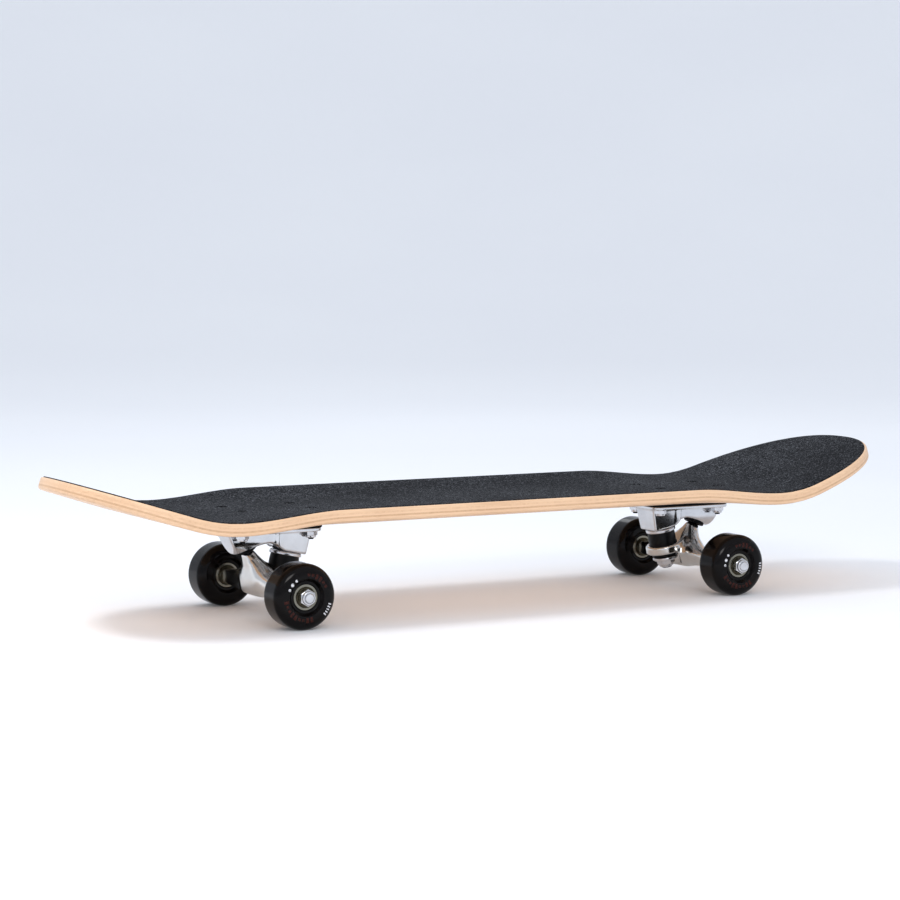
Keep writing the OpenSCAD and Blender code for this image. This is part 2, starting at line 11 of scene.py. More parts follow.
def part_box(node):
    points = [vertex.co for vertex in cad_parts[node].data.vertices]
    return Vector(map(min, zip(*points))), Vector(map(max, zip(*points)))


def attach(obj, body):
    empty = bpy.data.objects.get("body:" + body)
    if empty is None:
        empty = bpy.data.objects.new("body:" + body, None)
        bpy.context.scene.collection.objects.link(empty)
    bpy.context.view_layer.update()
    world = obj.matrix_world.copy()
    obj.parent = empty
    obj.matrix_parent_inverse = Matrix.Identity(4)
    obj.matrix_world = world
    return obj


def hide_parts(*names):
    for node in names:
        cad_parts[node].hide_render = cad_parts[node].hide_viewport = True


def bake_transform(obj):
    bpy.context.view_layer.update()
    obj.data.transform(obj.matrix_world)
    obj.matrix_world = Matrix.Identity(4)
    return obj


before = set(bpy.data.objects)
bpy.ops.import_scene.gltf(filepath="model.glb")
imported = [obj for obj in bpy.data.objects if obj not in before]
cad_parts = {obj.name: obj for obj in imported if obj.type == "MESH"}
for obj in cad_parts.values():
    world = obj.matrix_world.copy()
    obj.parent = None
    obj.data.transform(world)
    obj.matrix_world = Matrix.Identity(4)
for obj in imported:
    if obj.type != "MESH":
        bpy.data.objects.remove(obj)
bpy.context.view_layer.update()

MM = 0.001
ENDS = ("nose", "tail")
SIDES = ("left", "right")


# ---- Sizes, as in part.scad ----

def box_mm(node):
    low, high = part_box(node)
    return np.array(low) / MM, np.array(high) / MM


WHEEL_LOW, WHEEL_HIGH = box_mm("wheel_nose_left")
WHEEL_CENTRE = (WHEEL_LOW + WHEEL_HIGH) / 2
WHEEL_R = (WHEEL_HIGH[2] - WHEEL_LOW[2]) / 2
WHEEL_W = WHEEL_HIGH[1] - WHEEL_LOW[1]
AXLE_Z = WHEEL_CENTRE[2]
AXLE_OUT = 7.0
PATTERN_X = WHEEL_CENTRE[0] - AXLE_OUT
PATTERN_L = 63.5
PATTERN_W = 41.3
AXLE_END = box_mm("axle_nose")[1][1]
AXLE_R = 3.97

PAD_LOW, PAD_HIGH = box_mm("riser_pad_nose")
PLATE_TOP = PAD_LOW[2]
PLATE_T = 3.4
PLATE_BOTTOM = PLATE_TOP - PLATE_T
PLATE_HALF = np.array([41.55, 28.35])
PLATE_CORNER_R = 10.0

DECK_W = 2 * box_mm("deck")[1][1]
PLY_COUNT = 7
PLY_T = 1.5
GRIP_T = 0.8
DECK_TOP = PAD_HIGH[2] + PLY_COUNT * PLY_T
CONCAVE_RISE = 7.3
FLAT_W = 60.0
CONCAVE_FADE = 90.0
BEND_R = 136.0
END_POWER = 2.33
OUTER_BOLT_X = PATTERN_X + PATTERN_L / 2
# By the sign of x: 1 is the nose and -1 the tail.
KICKS = {
    1: {"gap": 14.0, "angle": math.radians(17.5), "flat": 110.7, "taper": 139.0},
    -1: {"gap": 34.0, "angle": math.radians(17.7), "flat": 89.3, "taper": 130.0},
}

BOLT_R = 2.4
HEAD_R = 4.8
HEAD_H = 2.6
HEAD_PROUD = 0.4
BOLT_TIP = 1.3
NUT_AF = 9.5
NUT_H = 5.6

KINGPIN_TILT = math.radians(12)
KINGPIN_SEAT = (-18.0, PLATE_TOP - 22)
KINGPIN_R = 4.75
KINGPIN_HEAD_S = -14.0
KINGPIN_NUT_AF = 14.3
WASHER_T = 1.5
WASHER_RIM = 1.7
UPPER_R = 12.5
LOWER_R = 10.5
UPPER_S = (1.5, 17.0)
RING_S = (15.5, 24.0)
LOWER_S = (22.5, 29.0)
NUT_S = (30.5, 37.0)
KINGPIN_END_S = 38.5
RING_R = 16.7

PIVOT_TILT = math.radians(24)
PIVOT_MOUTH = (20.0, PLATE_TOP - 18)
PIVOT_DEPTH = 6.0
PIVOT_NOSE_R = 5.5
CUP_R = 8.0
CUP_H = 14.0
CUP_FLANGE = (9.5, 2.0)

# The arm's half thickness at distances across the truck from its middle.
HANGER_HALF = 65.0
ARM_Y = (0.0, 9.0, 34.0, HANGER_HALF)
ARM_R = (9.2, 9.0, 6.9, 6.4)
# The stem's half width and half depth at distances down the pivot's axis from the cup's mouth.
STEM_R = 4.2
STEM_Z = (3.0, 3.8, 5.5, 9.0, 13.0, 18.0, 24.0, 33.0)
STEM_V = (4.2, 5.7, 6.9, 9.2, 13.2, 19.5, 27.0, 36.0)
STEM_X = (4.2, 5.2, 5.7, 6.4, 7.4, 8.6, 9.4, 9.0)

BEARING_R = 11.0
BEARING_W = 7.0
SEAT_Z = 5.0
FACE_Z = SEAT_Z + BEARING_W
PITCH_R = 7.5
RACE_GAP = 1.2
CORE_R = 9.6
AXLE_NUT_AF = 12.7
AXLE_NUT_Y = 90.8
AXLE_NUT_H = 6.6


# ---- Frames that pieces are placed in ----

def moved(x, y, z):
    return Matrix.Translation(Vector((x, y, z)) * MM)


def turned_by(angle, axis):
    return Matrix.Rotation(angle, 4, axis)


def truck_frame(end):
    if end == "nose":
        return moved(PATTERN_X, 0, 0)
    return moved(-PATTERN_X, 0, 0) @ turned_by(math.pi, "Z")


def kingpin_frame(end):
    seat = moved(KINGPIN_SEAT[0], 0, KINGPIN_SEAT[1])
    return truck_frame(end) @ seat @ turned_by(math.pi - KINGPIN_TILT, "Y")


def pivot_frame(end):
    return truck_frame(end) @ moved(PIVOT_MOUTH[0], 0, PIVOT_MOUTH[1]) @ turned_by(PIVOT_TILT, "Y")


def axle_frame(end, side=1):
    return truck_frame(end) @ moved(AXLE_OUT, 0, AXLE_Z) @ turned_by(-side * math.pi / 2, "X")


def wheel_frame(end, side):
    left = 1 if side == "left" else -1
    x = WHEEL_CENTRE[0] * (1 if end == "nose" else -1)
    return moved(x, left * WHEEL_CENTRE[1], AXLE_Z) @ turned_by(-left * math.pi / 2, "X")


# ---- Mesh helpers ----

SHARP = 35.0
TURNED_STEPS = 96
ROD_STEPS = 48


def smooth_mesh(mesh, sharp=SHARP):
    """Joins double points, turns normals outward and keeps corners over sharp degrees."""
    bm = bmesh.new()
    bm.from_mesh(mesh)
    bmesh.ops.remove_doubles(bm, verts=bm.verts, dist=2e-7)
    bmesh.ops.dissolve_degenerate(bm, edges=bm.edges, dist=1e-7)
    bmesh.ops.recalc_face_normals(bm, faces=bm.faces)
    for face in bm.faces:
        face.smooth = True
    for edge in bm.edges:
        edge.smooth = not edge.is_manifold or edge.calc_face_angle(0.0) < math.radians(sharp)
    bm.to_mesh(mesh)
    bm.free()
    return mesh


def mesh_of(name, *shapes, sharp=SHARP):
    """A mesh of one or more (points in mm, faces) shapes."""
    points, faces, start = [], [], 0
    for shape_points, shape_faces in shapes:
        shape_points = np.asarray(shape_points, float).reshape(-1, 3)
        points.append(shape_points)
        faces += [tuple(int(i) + start for i in face) for face in shape_faces]
        start += len(shape_points)
    mesh = bpy.data.meshes.new(name)
    mesh.from_pydata((np.concatenate(points) * MM).tolist(), [], faces)
    return smooth_mesh(mesh, sharp)


def piece(name, mesh, place, body, material, slot, *nodes):
    """An object in its place, which rides on a body and stands for the CAD nodes named.
    With no body it is attached to none."""
    obj = bpy.data.objects.new(name, mesh)
    bpy.context.scene.collection.objects.link(obj)
    if not mesh.materials:
        mesh.materials.append(material)
    obj.matrix_world = place
    if body:
        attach(obj, body)
    if nodes:
        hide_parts(*nodes)
    return obj


def dress(node, material):
    """Gives a CAD node that stays its finish."""
    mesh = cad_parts[node].data
    mesh.materials.clear()
    mesh.materials.append(material)


def grid_faces(rows, cols, wrap=False, start=0):
    steps = cols if wrap else cols - 1
    return [
        (start + i * cols + j, start + i * cols + (j + 1) % cols,
         start + (i + 1) * cols + (j + 1) % cols, start + (i + 1) * cols + j)
        for i in range(rows - 1) for j in range(steps)
    ]


def lathe(profile, steps=TURNED_STEPS, radius=None, closed=False):
    """Turns (r, z) points about Z. radius(r, z, angle) may change r, as for a hexagon."""
    profile = list(profile) + ([profile[0]] if closed else [])
    r, z = np.array(profile, float).T[:, :, None]
    angle = np.linspace(0, 2 * math.pi, steps, endpoint=False)[None, :]
    if radius:
        r = radius(r, z, angle)
    points = np.stack(np.broadcast_arrays(r * np.cos(angle), r * np.sin(angle), z), -1)
    return points.reshape(-1, 3), grid_faces(len(profile), steps, wrap=True)


def shifted(shape, x=0.0, y=0.0, z=0.0):
    return np.asarray(shape[0]) + (x, y, z), shape[1]


def arc(centre, r, start, end, steps=6):
    """(r, z) points along an arc, with angles in degrees."""
    turns = np.radians(np.linspace(start, end, steps + 1))
    return [(centre[0] + r * math.cos(t), centre[1] + r * math.sin(t)) for t in turns]


def hexagon(flats):
    """A radius rule that cuts a turned shape to a hexagon."""
    sector = math.pi / 3

    def rule(r, z, angle):
        across = flats / 2 / np.cos((angle + sector / 2) % sector - sector / 2)
        return np.minimum(r, across)
    return rule


def thread(r_in, z_from, z_to, pitch, depth):
    """A radius rule that cuts a helical thread between two heights."""

    def rule(r, z, angle):
        turn = (z / pitch - angle / (2 * math.pi)) % 1
        groove = depth * (1 - abs(2 * turn - 1))
        held = (z > z_from) & (z < z_to) & (r > r_in)
        return np.where(held, r - groove, r + 0 * angle)
    return rule


# ---- Implicit shapes, for castings with blended corners ----

def blend_min(a, b, k):
    h = np.clip(0.5 + 0.5 * (b - a) / k, 0, 1)
    return b + (a - b) * h - k * h * (1 - h)


def blend_max(a, b, k):
    return -blend_min(-a, -b, k)


def capped(radial, along, r, low, high, k):
    return blend_max(radial - r, np.maximum(low - along, along - high), k)


def oval(a, b, power):
    return (np.abs(a) ** power + np.abs(b) ** power) ** (1 / power)


def side_of(u, w, start, end):
    """Distance to the right of the line from start to end."""
    du, dw = end[0] - start[0], end[1] - start[1]
    return (dw * (u - start[0]) - du * (w - start[1])) / math.hypot(du, dw)


CELL_CORNERS = [(i, j, k) for i in (0, 1) for j in (0, 1) for k in (0, 1)]
QUAD_CORNERS = ((0, 0), (1, 0), (1, 1), (0, 1))
SLOPE_REACH = 0.05
LEAST_SLOPE = 0.1
PULLS = 3


def crossed_cells(value):
    """The grid cells that the surface crosses, and the middle of the crossings on their edges."""
    shape = tuple(n - 1 for n in value.shape)

    def at(array, corner):
        return array[tuple(slice(c, c + n) for c, n in zip(corner, shape))]

    count = sum(at(value < 0, corner).astype(np.int8) for corner in CELL_CORNERS)
    cells = np.argwhere((count > 0) & (count < len(CELL_CORNERS)))
    total = np.zeros((len(cells), 3))
    hits = np.zeros(len(cells))
    for a in CELL_CORNERS:
        for axis in range(3):
            if a[axis]:
                continue
            b = tuple(c + (n == axis) for n, c in enumerate(a))
            va = at(value, a)[tuple(cells.T)]
            vb = at(value, b)[tuple(cells.T)]
            cross = (va < 0) != (vb < 0)
            share = np.where(cross, va / np.where(va == vb, 1, va - vb), 0)
            total += np.where(cross[:, None], np.array(a) + share[:, None] * np.eye(3)[axis], 0)
            hits += cross
    return cells, cells + total / hits[:, None]


def pulled(field, points, step):
    """Points moved along the field's slope, at most half a step at a time, to where it is zero."""
    for _ in range(PULLS):
        here = field(*points.T)
        slope = np.stack([
            (field(*(points + d).T) - field(*(points - d).T)) / (2 * SLOPE_REACH)
            for d in SLOPE_REACH * np.eye(3)
        ], -1)
        pull = slope * (here / np.maximum((slope ** 2).sum(1), LEAST_SLOPE))[:, None]
        points = points - np.clip(pull, -step / 2, step / 2)
    return points


def cell_faces(inside, cells):
    """A quad for each grid edge that the surface crosses, with a corner in each cell around it."""
    shape = tuple(n - 1 for n in inside.shape)
    number = np.full(shape, -1)
    number[tuple(cells.T)] = np.arange(len(cells))
    faces = []
    for axis in range(3):
        along = [slice(None)] * 3
        along[axis] = slice(0, -1)
        ahead = [slice(None)] * 3
        ahead[axis] = slice(1, None)
        edges = np.argwhere(inside[tuple(along)] != inside[tuple(ahead)])
        p, q = [n for n in range(3) if n != axis]
        keep = (edges[:, p] > 0) & (edges[:, q] > 0)
        keep &= (edges[:, p] < shape[p]) & (edges[:, q] < shape[q])
        edges = edges[keep]
        quad = []
        for dp, dq in QUAD_CORNERS:
            cell = edges.copy()
            cell[:, p] -= dp
            cell[:, q] -= dq
            quad.append(number[tuple(cell.T)])
        faces.append(np.stack(quad, -1))
    return np.concatenate(faces)


def surface(field, low, high, step):
    """Surface nets: a point in each grid cell that the surface crosses, pulled onto the surface."""
    axes = [np.arange(a, b + step, step) for a, b in zip(low, high)]
    value = field(*np.meshgrid(*axes, indexing="ij"))
    cells, places = crossed_cells(value)
    points = pulled(field, np.array(low) + step * places, step)
    return points, cell_faces(value < 0, cells).tolist()


# ---- Materials ----

# The Mix node has sockets of the same name for each data type: these are the colour ones.
MIX_A = 6
MIX_B = 7
MIX_RESULT = 2


class Finish:
    """A Principled material with short calls for the nodes that feed it."""

    def __init__(self, name, colour, roughness, metallic=0.0, **sockets):
        self.material = bpy.data.materials.new(name)
        self.material.use_nodes = True
        self.tree = self.material.node_tree
        self.shader = self.tree.nodes["Principled BSDF"]
        self.set(self.shader, "Base Color", (*colour, 1.0))
        self.set(self.shader, "Roughness", roughness)
        self.set(self.shader, "Metallic", metallic)
        for socket, value in sockets.items():
            self.set(self.shader, socket.replace("_", " "), value)
        self.place = self.node("ShaderNodeTexCoord").outputs["Object"]

    def node(self, kind, **settings):
        made = self.tree.nodes.new(kind)
        for key, value in settings.items():
            setattr(made, key, value)
        return made

    def set(self, node, socket, value):
        if isinstance(value, bpy.types.NodeSocket):
            self.tree.links.new(value, node.inputs[socket])
        else:
            node.inputs[socket].default_value = value

    def math(self, operation, a, b=0.0, c=0.0):
        made = self.node("ShaderNodeMath", operation=operation)
        for n, value in enumerate((a, b, c)):
            self.set(made, n, value)
        return made.outputs[0]

    def stretched(self, scale):
        made = self.node("ShaderNodeMapping")
        self.set(made, "Vector", self.place)
        self.set(made, "Scale", scale)
        return made.outputs[0]

    def noise(self, scale, detail=3.0, roughness=0.5, stretch=(1, 1, 1)):
        made = self.node("ShaderNodeTexNoise")
        self.set(made, "Vector", self.stretched(stretch))
        self.set(made, "Scale", scale)
        self.set(made, "Detail", detail)
        self.set(made, "Roughness", roughness)
        return made.outputs["Fac"]

    def cells(self, scale, output="Distance"):
        made = self.node("ShaderNodeTexVoronoi")
        self.set(made, "Vector", self.place)
        self.set(made, "Scale", scale)
        return made.outputs[output]

    def ramp(self, value, *stops):
        made = self.node("ShaderNodeValToRGB")
        self.set(made, "Fac", value)
        marks = made.color_ramp.elements
        while len(marks) < len(stops):
            marks.new(0.5)
        for mark, (position, colour) in zip(marks, stops):
            mark.position = position
            mark.color = (*colour, 1.0) if isinstance(colour, tuple) else (colour,) * 3 + (1.0,)
        return made.outputs["Color"]

    def mix(self, share, a, b):
        made = self.node("ShaderNodeMix", data_type="RGBA")
        self.set(made, "Factor", share)
        for socket, value in ((MIX_A, a), (MIX_B, b)):
            self.set(made, socket, (*value, 1.0) if isinstance(value, tuple) else value)
        return made.outputs[MIX_RESULT]

    def bump(self, height, strength, distance):
        made = self.node("ShaderNodeBump")
        self.set(made, "Height", height)
        self.set(made, "Strength", strength)
        self.set(made, "Distance", distance * MM)
        self.set(self.shader, "Normal", made.outputs[0])

    def colour(self, value):
        self.set(self.shader, "Base Color", value)

    def roughness(self, value, low, high):
        span = self.node("ShaderNodeMapRange")
        self.set(span, "Value", value)
        self.set(span, "To Min", low)
        self.set(span, "To Max", high)
        self.set(self.shader, "Roughness", span.outputs[0])


def veneer(name, pale, deep, along, coat):
    """Maple: long fibres, fine pores and slow changes of tone. along is the grain's direction."""
    wood = Finish(name, pale, 0.45, Coat_Weight=coat, Coat_Roughness=0.25)
    squeeze = 26.0
    across = tuple(1.0 if axis == along else squeeze for axis in "xyz")
    fibres = wood.noise(14.0, 6.0, 0.6, across)
    pores = wood.noise(60.0, 3.0, 0.7, across)
    patches = wood.noise(9.0, 2.0)
    tone = wood.math("MULTIPLY_ADD", patches, 0.5, wood.math("MULTIPLY", fibres, 0.6))
    grain = wood.ramp(tone, (0.34, deep), (0.62, pale))
    dark = wood.ramp(pores, (0.30, 0.55), (0.42, 1.0))
    wood.colour(wood.mix(dark, tuple(0.72 * c for c in deep), grain))
    wood.roughness(fibres, 0.36, 0.56)
    wood.bump(wood.math("ADD", pores, fibres), 0.25, 0.12)
    return wood.material


def grit():
    """Grip tape: silicon carbide grains of uneven tone in black resin; the few bright grains are
    painted glints.
    """
    tape = Finish("grip_grit", (0.013, 0.014, 0.017), 0.75, Specular_IOR_Level=0.10)
    grain_scale = 1150.0
    grains = tape.cells(grain_scale)
    clumps = tape.noise(520.0, 2.0, 0.6)
    wear = tape.noise(11.0, 4.0, 0.6)
    shade = tape.node("ShaderNodeSeparateColor")
    tape.set(shade, 0, tape.cells(grain_scale, output="Color"))
    clump_share, wear_share, grain_share = 0.42, 0.22, 0.38
    tone = tape.math("MULTIPLY_ADD", clumps, clump_share, tape.math("MULTIPLY", wear, wear_share))
    tone = tape.math("MULTIPLY_ADD", shade.outputs[0], grain_share, tone)
    # The lower stops are the grit's own uneven tone; the top stop paints a few grains light grey as
    # painted glints.
    speckle_and_glints = tape.ramp(tone, (0.34, (0.003, 0.003, 0.005)), (0.50, (0.010, 0.011, 0.014)),
                        (0.60, (0.034, 0.036, 0.041)), (0.72, (0.150, 0.155, 0.170)))
    tape.colour(speckle_and_glints)
    tape.roughness(clumps, 0.55, 0.9)
    tape.bump(tape.math("MULTIPLY_ADD", grains, -0.8, clumps), 0.9, 0.4)
    return tape.material


def casting(name, tint, low, high, grain, height):
    """Aluminium as it leaves the tumbler: slightly pebbled, with uneven sheen."""
    metal = Finish(name, tint, low, 1.0)
    pebble = metal.noise(grain, 4.0, 0.6)
    cloud = metal.noise(45.0, 3.0, 0.6)
    metal.colour(metal.ramp(cloud, (0.3, tuple(0.86 * c for c in tint)), (0.7, tint)))
    metal.roughness(cloud, low, high)
    metal.bump(pebble, 0.35, height)
    return metal.material


def turned_steel(name, tint, low, high, rings=2600.0):
    """Plated or ground steel with fine tool marks."""
    metal = Finish(name, tint, low, 1.0)
    marks = metal.noise(rings, 2.0, 0.5, (0.15, 0.15, 1.0))
    cloud = metal.noise(120.0, 3.0, 0.6)
    metal.colour(metal.ramp(cloud, (0.25, tuple(0.8 * c for c in tint)), (0.65, tint)))
    metal.roughness(cloud, low, high)
    metal.bump(marks, 0.15, 0.02)
    return metal.material


def moulded(name, colour, low, high, grain=700.0, height=0.03, **sockets):
    """Rubber, urethane or nylon: an even colour with a fine moulded skin."""
    soft = Finish(name, colour, low, 0.0, **sockets)
    skin = soft.noise(grain, 4.0, 0.6)
    cloud = soft.noise(60.0, 3.0, 0.6)
    soft.colour(soft.ramp(cloud, (0.3, tuple(0.75 * c for c in colour)), (0.7, colour)))
    soft.roughness(cloud, low, high)
    soft.bump(skin, 0.3, height)
    return soft.material


# The wheel's print. Radii are in mm and places around it in turns, but DASH_ARCS in dashes.
PRINT_FACE_Z = 10.0
DASHES_PER_TURN = 31
DASH_SHARE = 0.66
DASH_BAND = (16.6, 21.0)
SHORT_DASH_BAND = (17.6, 20.0)
DASHES_PER_RHYTHM = 4
DASH_ARCS = ((2.0, 7.8), (-15.0, -6.2))
TICKS_PER_TURN = 58.0
TICK_ARC = (-0.121, -0.035)
TICK_BAND = (20.2, 23.2)
DOT_PLACE_R = 17.2
DOTS = ((0.433, 1.2), (0.389, 1.5), (0.344, 1.2))
PRINT_RED = (0.055, 0.013, 0.009)
PRINT_WHITE = (0.82, 0.82, 0.84)


def printed_urethane():
    """Wheel: glossy near-black urethane with worn red dashes, white dots and white ticks."""
    wheel = Finish("wheel_urethane", (0.004, 0.003, 0.003), 0.2, Specular_IOR_Level=0.2)
    parts = wheel.node("ShaderNodeSeparateXYZ")
    wheel.set(parts, 0, wheel.place)
    x, y, z = parts.outputs
    squares = wheel.math("ADD", wheel.math("MULTIPLY", x, x), wheel.math("MULTIPLY", y, y))
    r = wheel.math("SQRT", squares)
    angle = wheel.math("DIVIDE", wheel.math("ARCTAN2", y, x), 2 * math.pi)

    def between(value, low, high):
        return wheel.math("COMPARE", value, (low + high) / 2, (high - low) / 2)

    def ring(band):
        return between(r, band[0] * MM, band[1] * MM)

    def beats(per_turn):
        return wheel.math("FRACT", wheel.math("MULTIPLY", angle, per_turn))

    def both(*masks):
        result = masks[0]
        for mask in masks[1:]:
            result = wheel.math("MULTIPLY", result, mask)
        return result

    outer = wheel.math("GREATER_THAN", z, PRINT_FACE_Z * MM)
    long_ones = between(beats(DASHES_PER_TURN / DASHES_PER_RHYTHM), 0.0, 0.5)
    heights = wheel.math("MAXIMUM", long_ones, ring(SHORT_DASH_BAND))
    dashes = wheel.math("LESS_THAN", beats(DASHES_PER_TURN), DASH_SHARE)
    dashes = both(ring(DASH_BAND), dashes, heights)
    arcs = [between(angle, a / DASHES_PER_TURN, b / DASHES_PER_TURN) for a, b in DASH_ARCS]
    red = both(outer, wheel.math("MAXIMUM", *arcs), dashes)
    ticks = wheel.math("LESS_THAN", beats(TICKS_PER_TURN), 0.5)
    white = both(outer, between(angle, *TICK_ARC), ring(TICK_BAND), ticks)
    for turn, size in DOTS:
        spot = wheel.node("ShaderNodeVectorMath", operation="DISTANCE")
        wheel.set(spot, 0, wheel.place)
        around = 2 * math.pi * turn
        place = (DOT_PLACE_R * math.cos(around), DOT_PLACE_R * math.sin(around), WHEEL_W / 2)
        wheel.set(spot, 1, tuple(c * MM for c in place))
        dot = wheel.math("LESS_THAN", spot.outputs["Value"], size * MM)
        white = wheel.math("MAXIMUM", white, dot)
    wear = wheel.ramp(wheel.noise(900.0, 4.0, 0.7), (0.38, 0.25), (0.52, 1.0))
    cloud = wheel.noise(70.0, 3.0, 0.6)
    base = wheel.ramp(cloud, (0.3, (0.002, 0.0014, 0.0016)), (0.7, (0.005, 0.003, 0.003)))
    base = wheel.mix(wheel.math("MULTIPLY", red, wear), base, PRINT_RED)
    wheel.colour(wheel.mix(wheel.math("MULTIPLY", white, wear), base, PRINT_WHITE))
    wheel.roughness(cloud, 0.09, 0.17)
    wheel.bump(wheel.noise(1100.0, 3.0, 0.5), 0.12, 0.03)
    return wheel.material


def studio_white():
    paper = Finish("studio_white", (0.86, 0.87, 0.89), 0.9, Specular_IOR_Level=0.1)
    tone = paper.noise(1.2, 2.0)
    paper.colour(paper.ramp(tone, (0.3, (0.85, 0.86, 0.885)), (0.7, (0.87, 0.88, 0.90))))
    paper.set(paper.shader, "Emission Color", (1.0, 0.97, 0.95, 1.0))
    paper.set(paper.shader, "Emission Strength", 0.07)
    return paper.material


LONG_GRAIN = veneer("maple_long", (0.89, 0.62, 0.41), (0.76, 0.50, 0.31), "x", 0.15)
PALE_CROSS_GRAIN = veneer("maple_cross_pale", (0.86, 0.59, 0.38), (0.73, 0.47, 0.29), "y", 0.1)
CROSS_GRAIN = veneer("maple_cross", (0.74, 0.49, 0.30), (0.60, 0.37, 0.22), "y", 0.1)
VENEERS = {2: PALE_CROSS_GRAIN, 4: CROSS_GRAIN}
GRIT = grit()
CAST = casting("cast_aluminium", (0.68, 0.69, 0.71), 0.09, 0.20, 800.0, 0.02)
POLISHED = casting("polished_aluminium", (0.72, 0.71, 0.69), 0.10, 0.20, 500.0, 0.015)
ZINC = turned_steel("zinc_steel", (0.70, 0.70, 0.72), 0.14, 0.28)
BLACK_STEEL = turned_steel("black_steel", (0.006, 0.006, 0.007), 0.35, 0.5)
# Bearing steel and shields are coloured far darker than bare steel: partly their own dull tone, partly
# painted shade for the wheels' recesses and the far wheels' shaded inner sides.
DARKENED_BEARING_STEEL = turned_steel("bearing_steel", (0.26, 0.25, 0.21), 0.14, 0.28)
DARKENED_SHIELD_STEEL = turned_steel("shield_steel", (0.085, 0.075, 0.050), 0.2, 0.35)
BUSHING = moulded("bushing_urethane", (0.004, 0.004, 0.005), 0.25, 0.42, Specular_IOR_Level=0.25)
RUBBER = moulded("black_rubber", (0.004, 0.004, 0.005), 0.5, 0.7, Specular_IOR_Level=0.2)
NYLON = moulded("nylon", (0.66, 0.67, 0.70), 0.35, 0.5)
CAGE = moulded("cage_nylon", (0.50, 0.42, 0.26), 0.4, 0.55)
URETHANE = printed_urethane()


# ---- Deck: seven veneers and the grip tape ----

def clamp(q):
    return np.clip(q, 0, 1)


def sheet_points(s, y, height):
    """Points of the pressed sheet at s along it and y across it, at a height above the top veneer."""
    s, y = np.broadcast_arrays(s, y)
    out = np.zeros(s.shape + (3,))
    for sign, kick in KICKS.items():
        start = OUTER_BOLT_X + kick["gap"]
        angle = kick["angle"]
        far = np.abs(s)
        fold = np.clip((far - start) / BEND_R, 0, angle)
        straight = np.maximum(0, far - start - BEND_R * angle)
        q = clamp((far - start + CONCAVE_FADE) / CONCAVE_FADE)
        fade = 1 - q * q * (3 - 2 * q)
        side = np.maximum(0, np.abs(y) - FLAT_W / 2) / (DECK_W - FLAT_W) * 2
        h = CONCAVE_RISE * fade * side ** 2 + height
        x = np.minimum(far, start) + BEND_R * np.sin(fold) + straight * math.cos(angle)
        z = BEND_R * (1 - np.cos(fold)) + straight * math.sin(angle)
        here = np.stack([sign * (x - np.sin(fold) * h), y, z + np.cos(fold) * h + DECK_TOP], -1)
        out = np.where((np.sign(s) == sign)[..., None] | ((s == 0) & (sign > 0))[..., None], here, out)
    return out


MIDDLE_ROWS = 10
BEND_ROWS = 17
END_ROWS = 31
# The last row stops short of a right angle, so that the tip keeps a width and its faces an area.
LAST_ANGLE = math.radians(89.999)


def outline_rows():
    """Stations along the deck: s, half width and the outline's own normal at each."""
    rows = []
    half_w = DECK_W / 2
    for sign, kick in KICKS.items():
        taper = kick["taper"]
        last = OUTER_BOLT_X + kick["gap"] + BEND_R * kick["angle"] + kick["flat"] - taper
        first = OUTER_BOLT_X + kick["gap"] - CONCAVE_FADE
        middle = np.linspace(0, first, MIDDLE_ROWS)[:-1]
        bend = np.linspace(first, last, BEND_ROWS)[:-1]
        half = [(sign * s, half_w, 0.0, 1.0) for s in np.concatenate([middle, bend])]
        for a in np.radians(np.linspace(0, 90, END_ROWS)):
            a = min(a, LAST_ANGLE)
            sx, cy = math.sin(a) ** (2 / END_POWER), math.cos(a) ** (2 / END_POWER)
            normal = np.array([sx ** (END_POWER - 1) / taper, cy ** (END_POWER - 1) / half_w])
            normal /= np.linalg.norm(normal)
            half.append((sign * (last + taper * sx), half_w * cy, sign * normal[0], normal[1]))
        rows = half if sign > 0 else half[:0:-1] + rows
    return np.array(rows)


ROWS = outline_rows()


def sheet_solid(levels, lanes):
    """A closed sheet through (height, inset) levels from top to bottom, filled at both ends."""
    shares = np.linspace(-1, 1, lanes)
    count = len(ROWS)

    def level(height, inset, share):
        s = ROWS[:, 0] - ROWS[:, 2] * inset
        half = np.maximum(ROWS[:, 1] - ROWS[:, 3] * inset, 0)
        return sheet_points(s[:, None], half[:, None] * share[None, :], height)

    top = level(*levels[0], shares).reshape(-1, 3)
    bottom = level(*levels[-1], shares).reshape(-1, 3)
    faces = grid_faces(count, lanes) + [f[::-1] for f in grid_faces(count, lanes, start=len(top))]
    border = [i * lanes for i in range(count)]
    border += [i * lanes + lanes - 1 for i in reversed(range(count))]
    points = [top, bottom]
    loops = [border]
    start = 2 * len(top)
    for height, inset in levels[1:-1]:
        edge = level(height, inset, np.array([-1.0, 1.0]))
        points.append(np.concatenate([edge[:, 0], edge[::-1, 1]]))
        loops.append(list(range(start, start + 2 * count)))
        start += 2 * count
    loops.append([i + len(top) for i in border])
    for upper, lower in zip(loops, loops[1:]):
        n = len(upper)
        faces += [(upper[i], lower[i], lower[(i + 1) % n], upper[(i + 1) % n]) for i in range(n)]
    return np.concatenate(points), faces


EDGE_TOP_R = 2.0
EDGE_BOTTOM_R = 2.8
EDGE_STEPS = 5
GLUE_NOTCH = 0.02
DECK_T = PLY_COUNT * PLY_T
HOLE_CLEAR = 0.2
HIDDEN_LANES = 9
OPEN_LANES = 25
GRIP_BEVEL = ((GRIP_T, 0.35), (GRIP_T - 0.12, 0.12), (0.0, 0.0))


def edge_inset(depth):
    """How far the rounded edge stands in from the outline at a depth below the deck's top."""
    for r, near in ((EDGE_TOP_R, depth), (EDGE_BOTTOM_R, DECK_T - depth)):
        if near < r:
            return r - math.sqrt(max(0.0, r * r - (r - near) ** 2))
    return 0.0


def at_bolts():
    return [(x, y) for x in (-PATTERN_L / 2, PATTERN_L / 2) for y in (-PATTERN_W / 2, PATTERN_W / 2)]


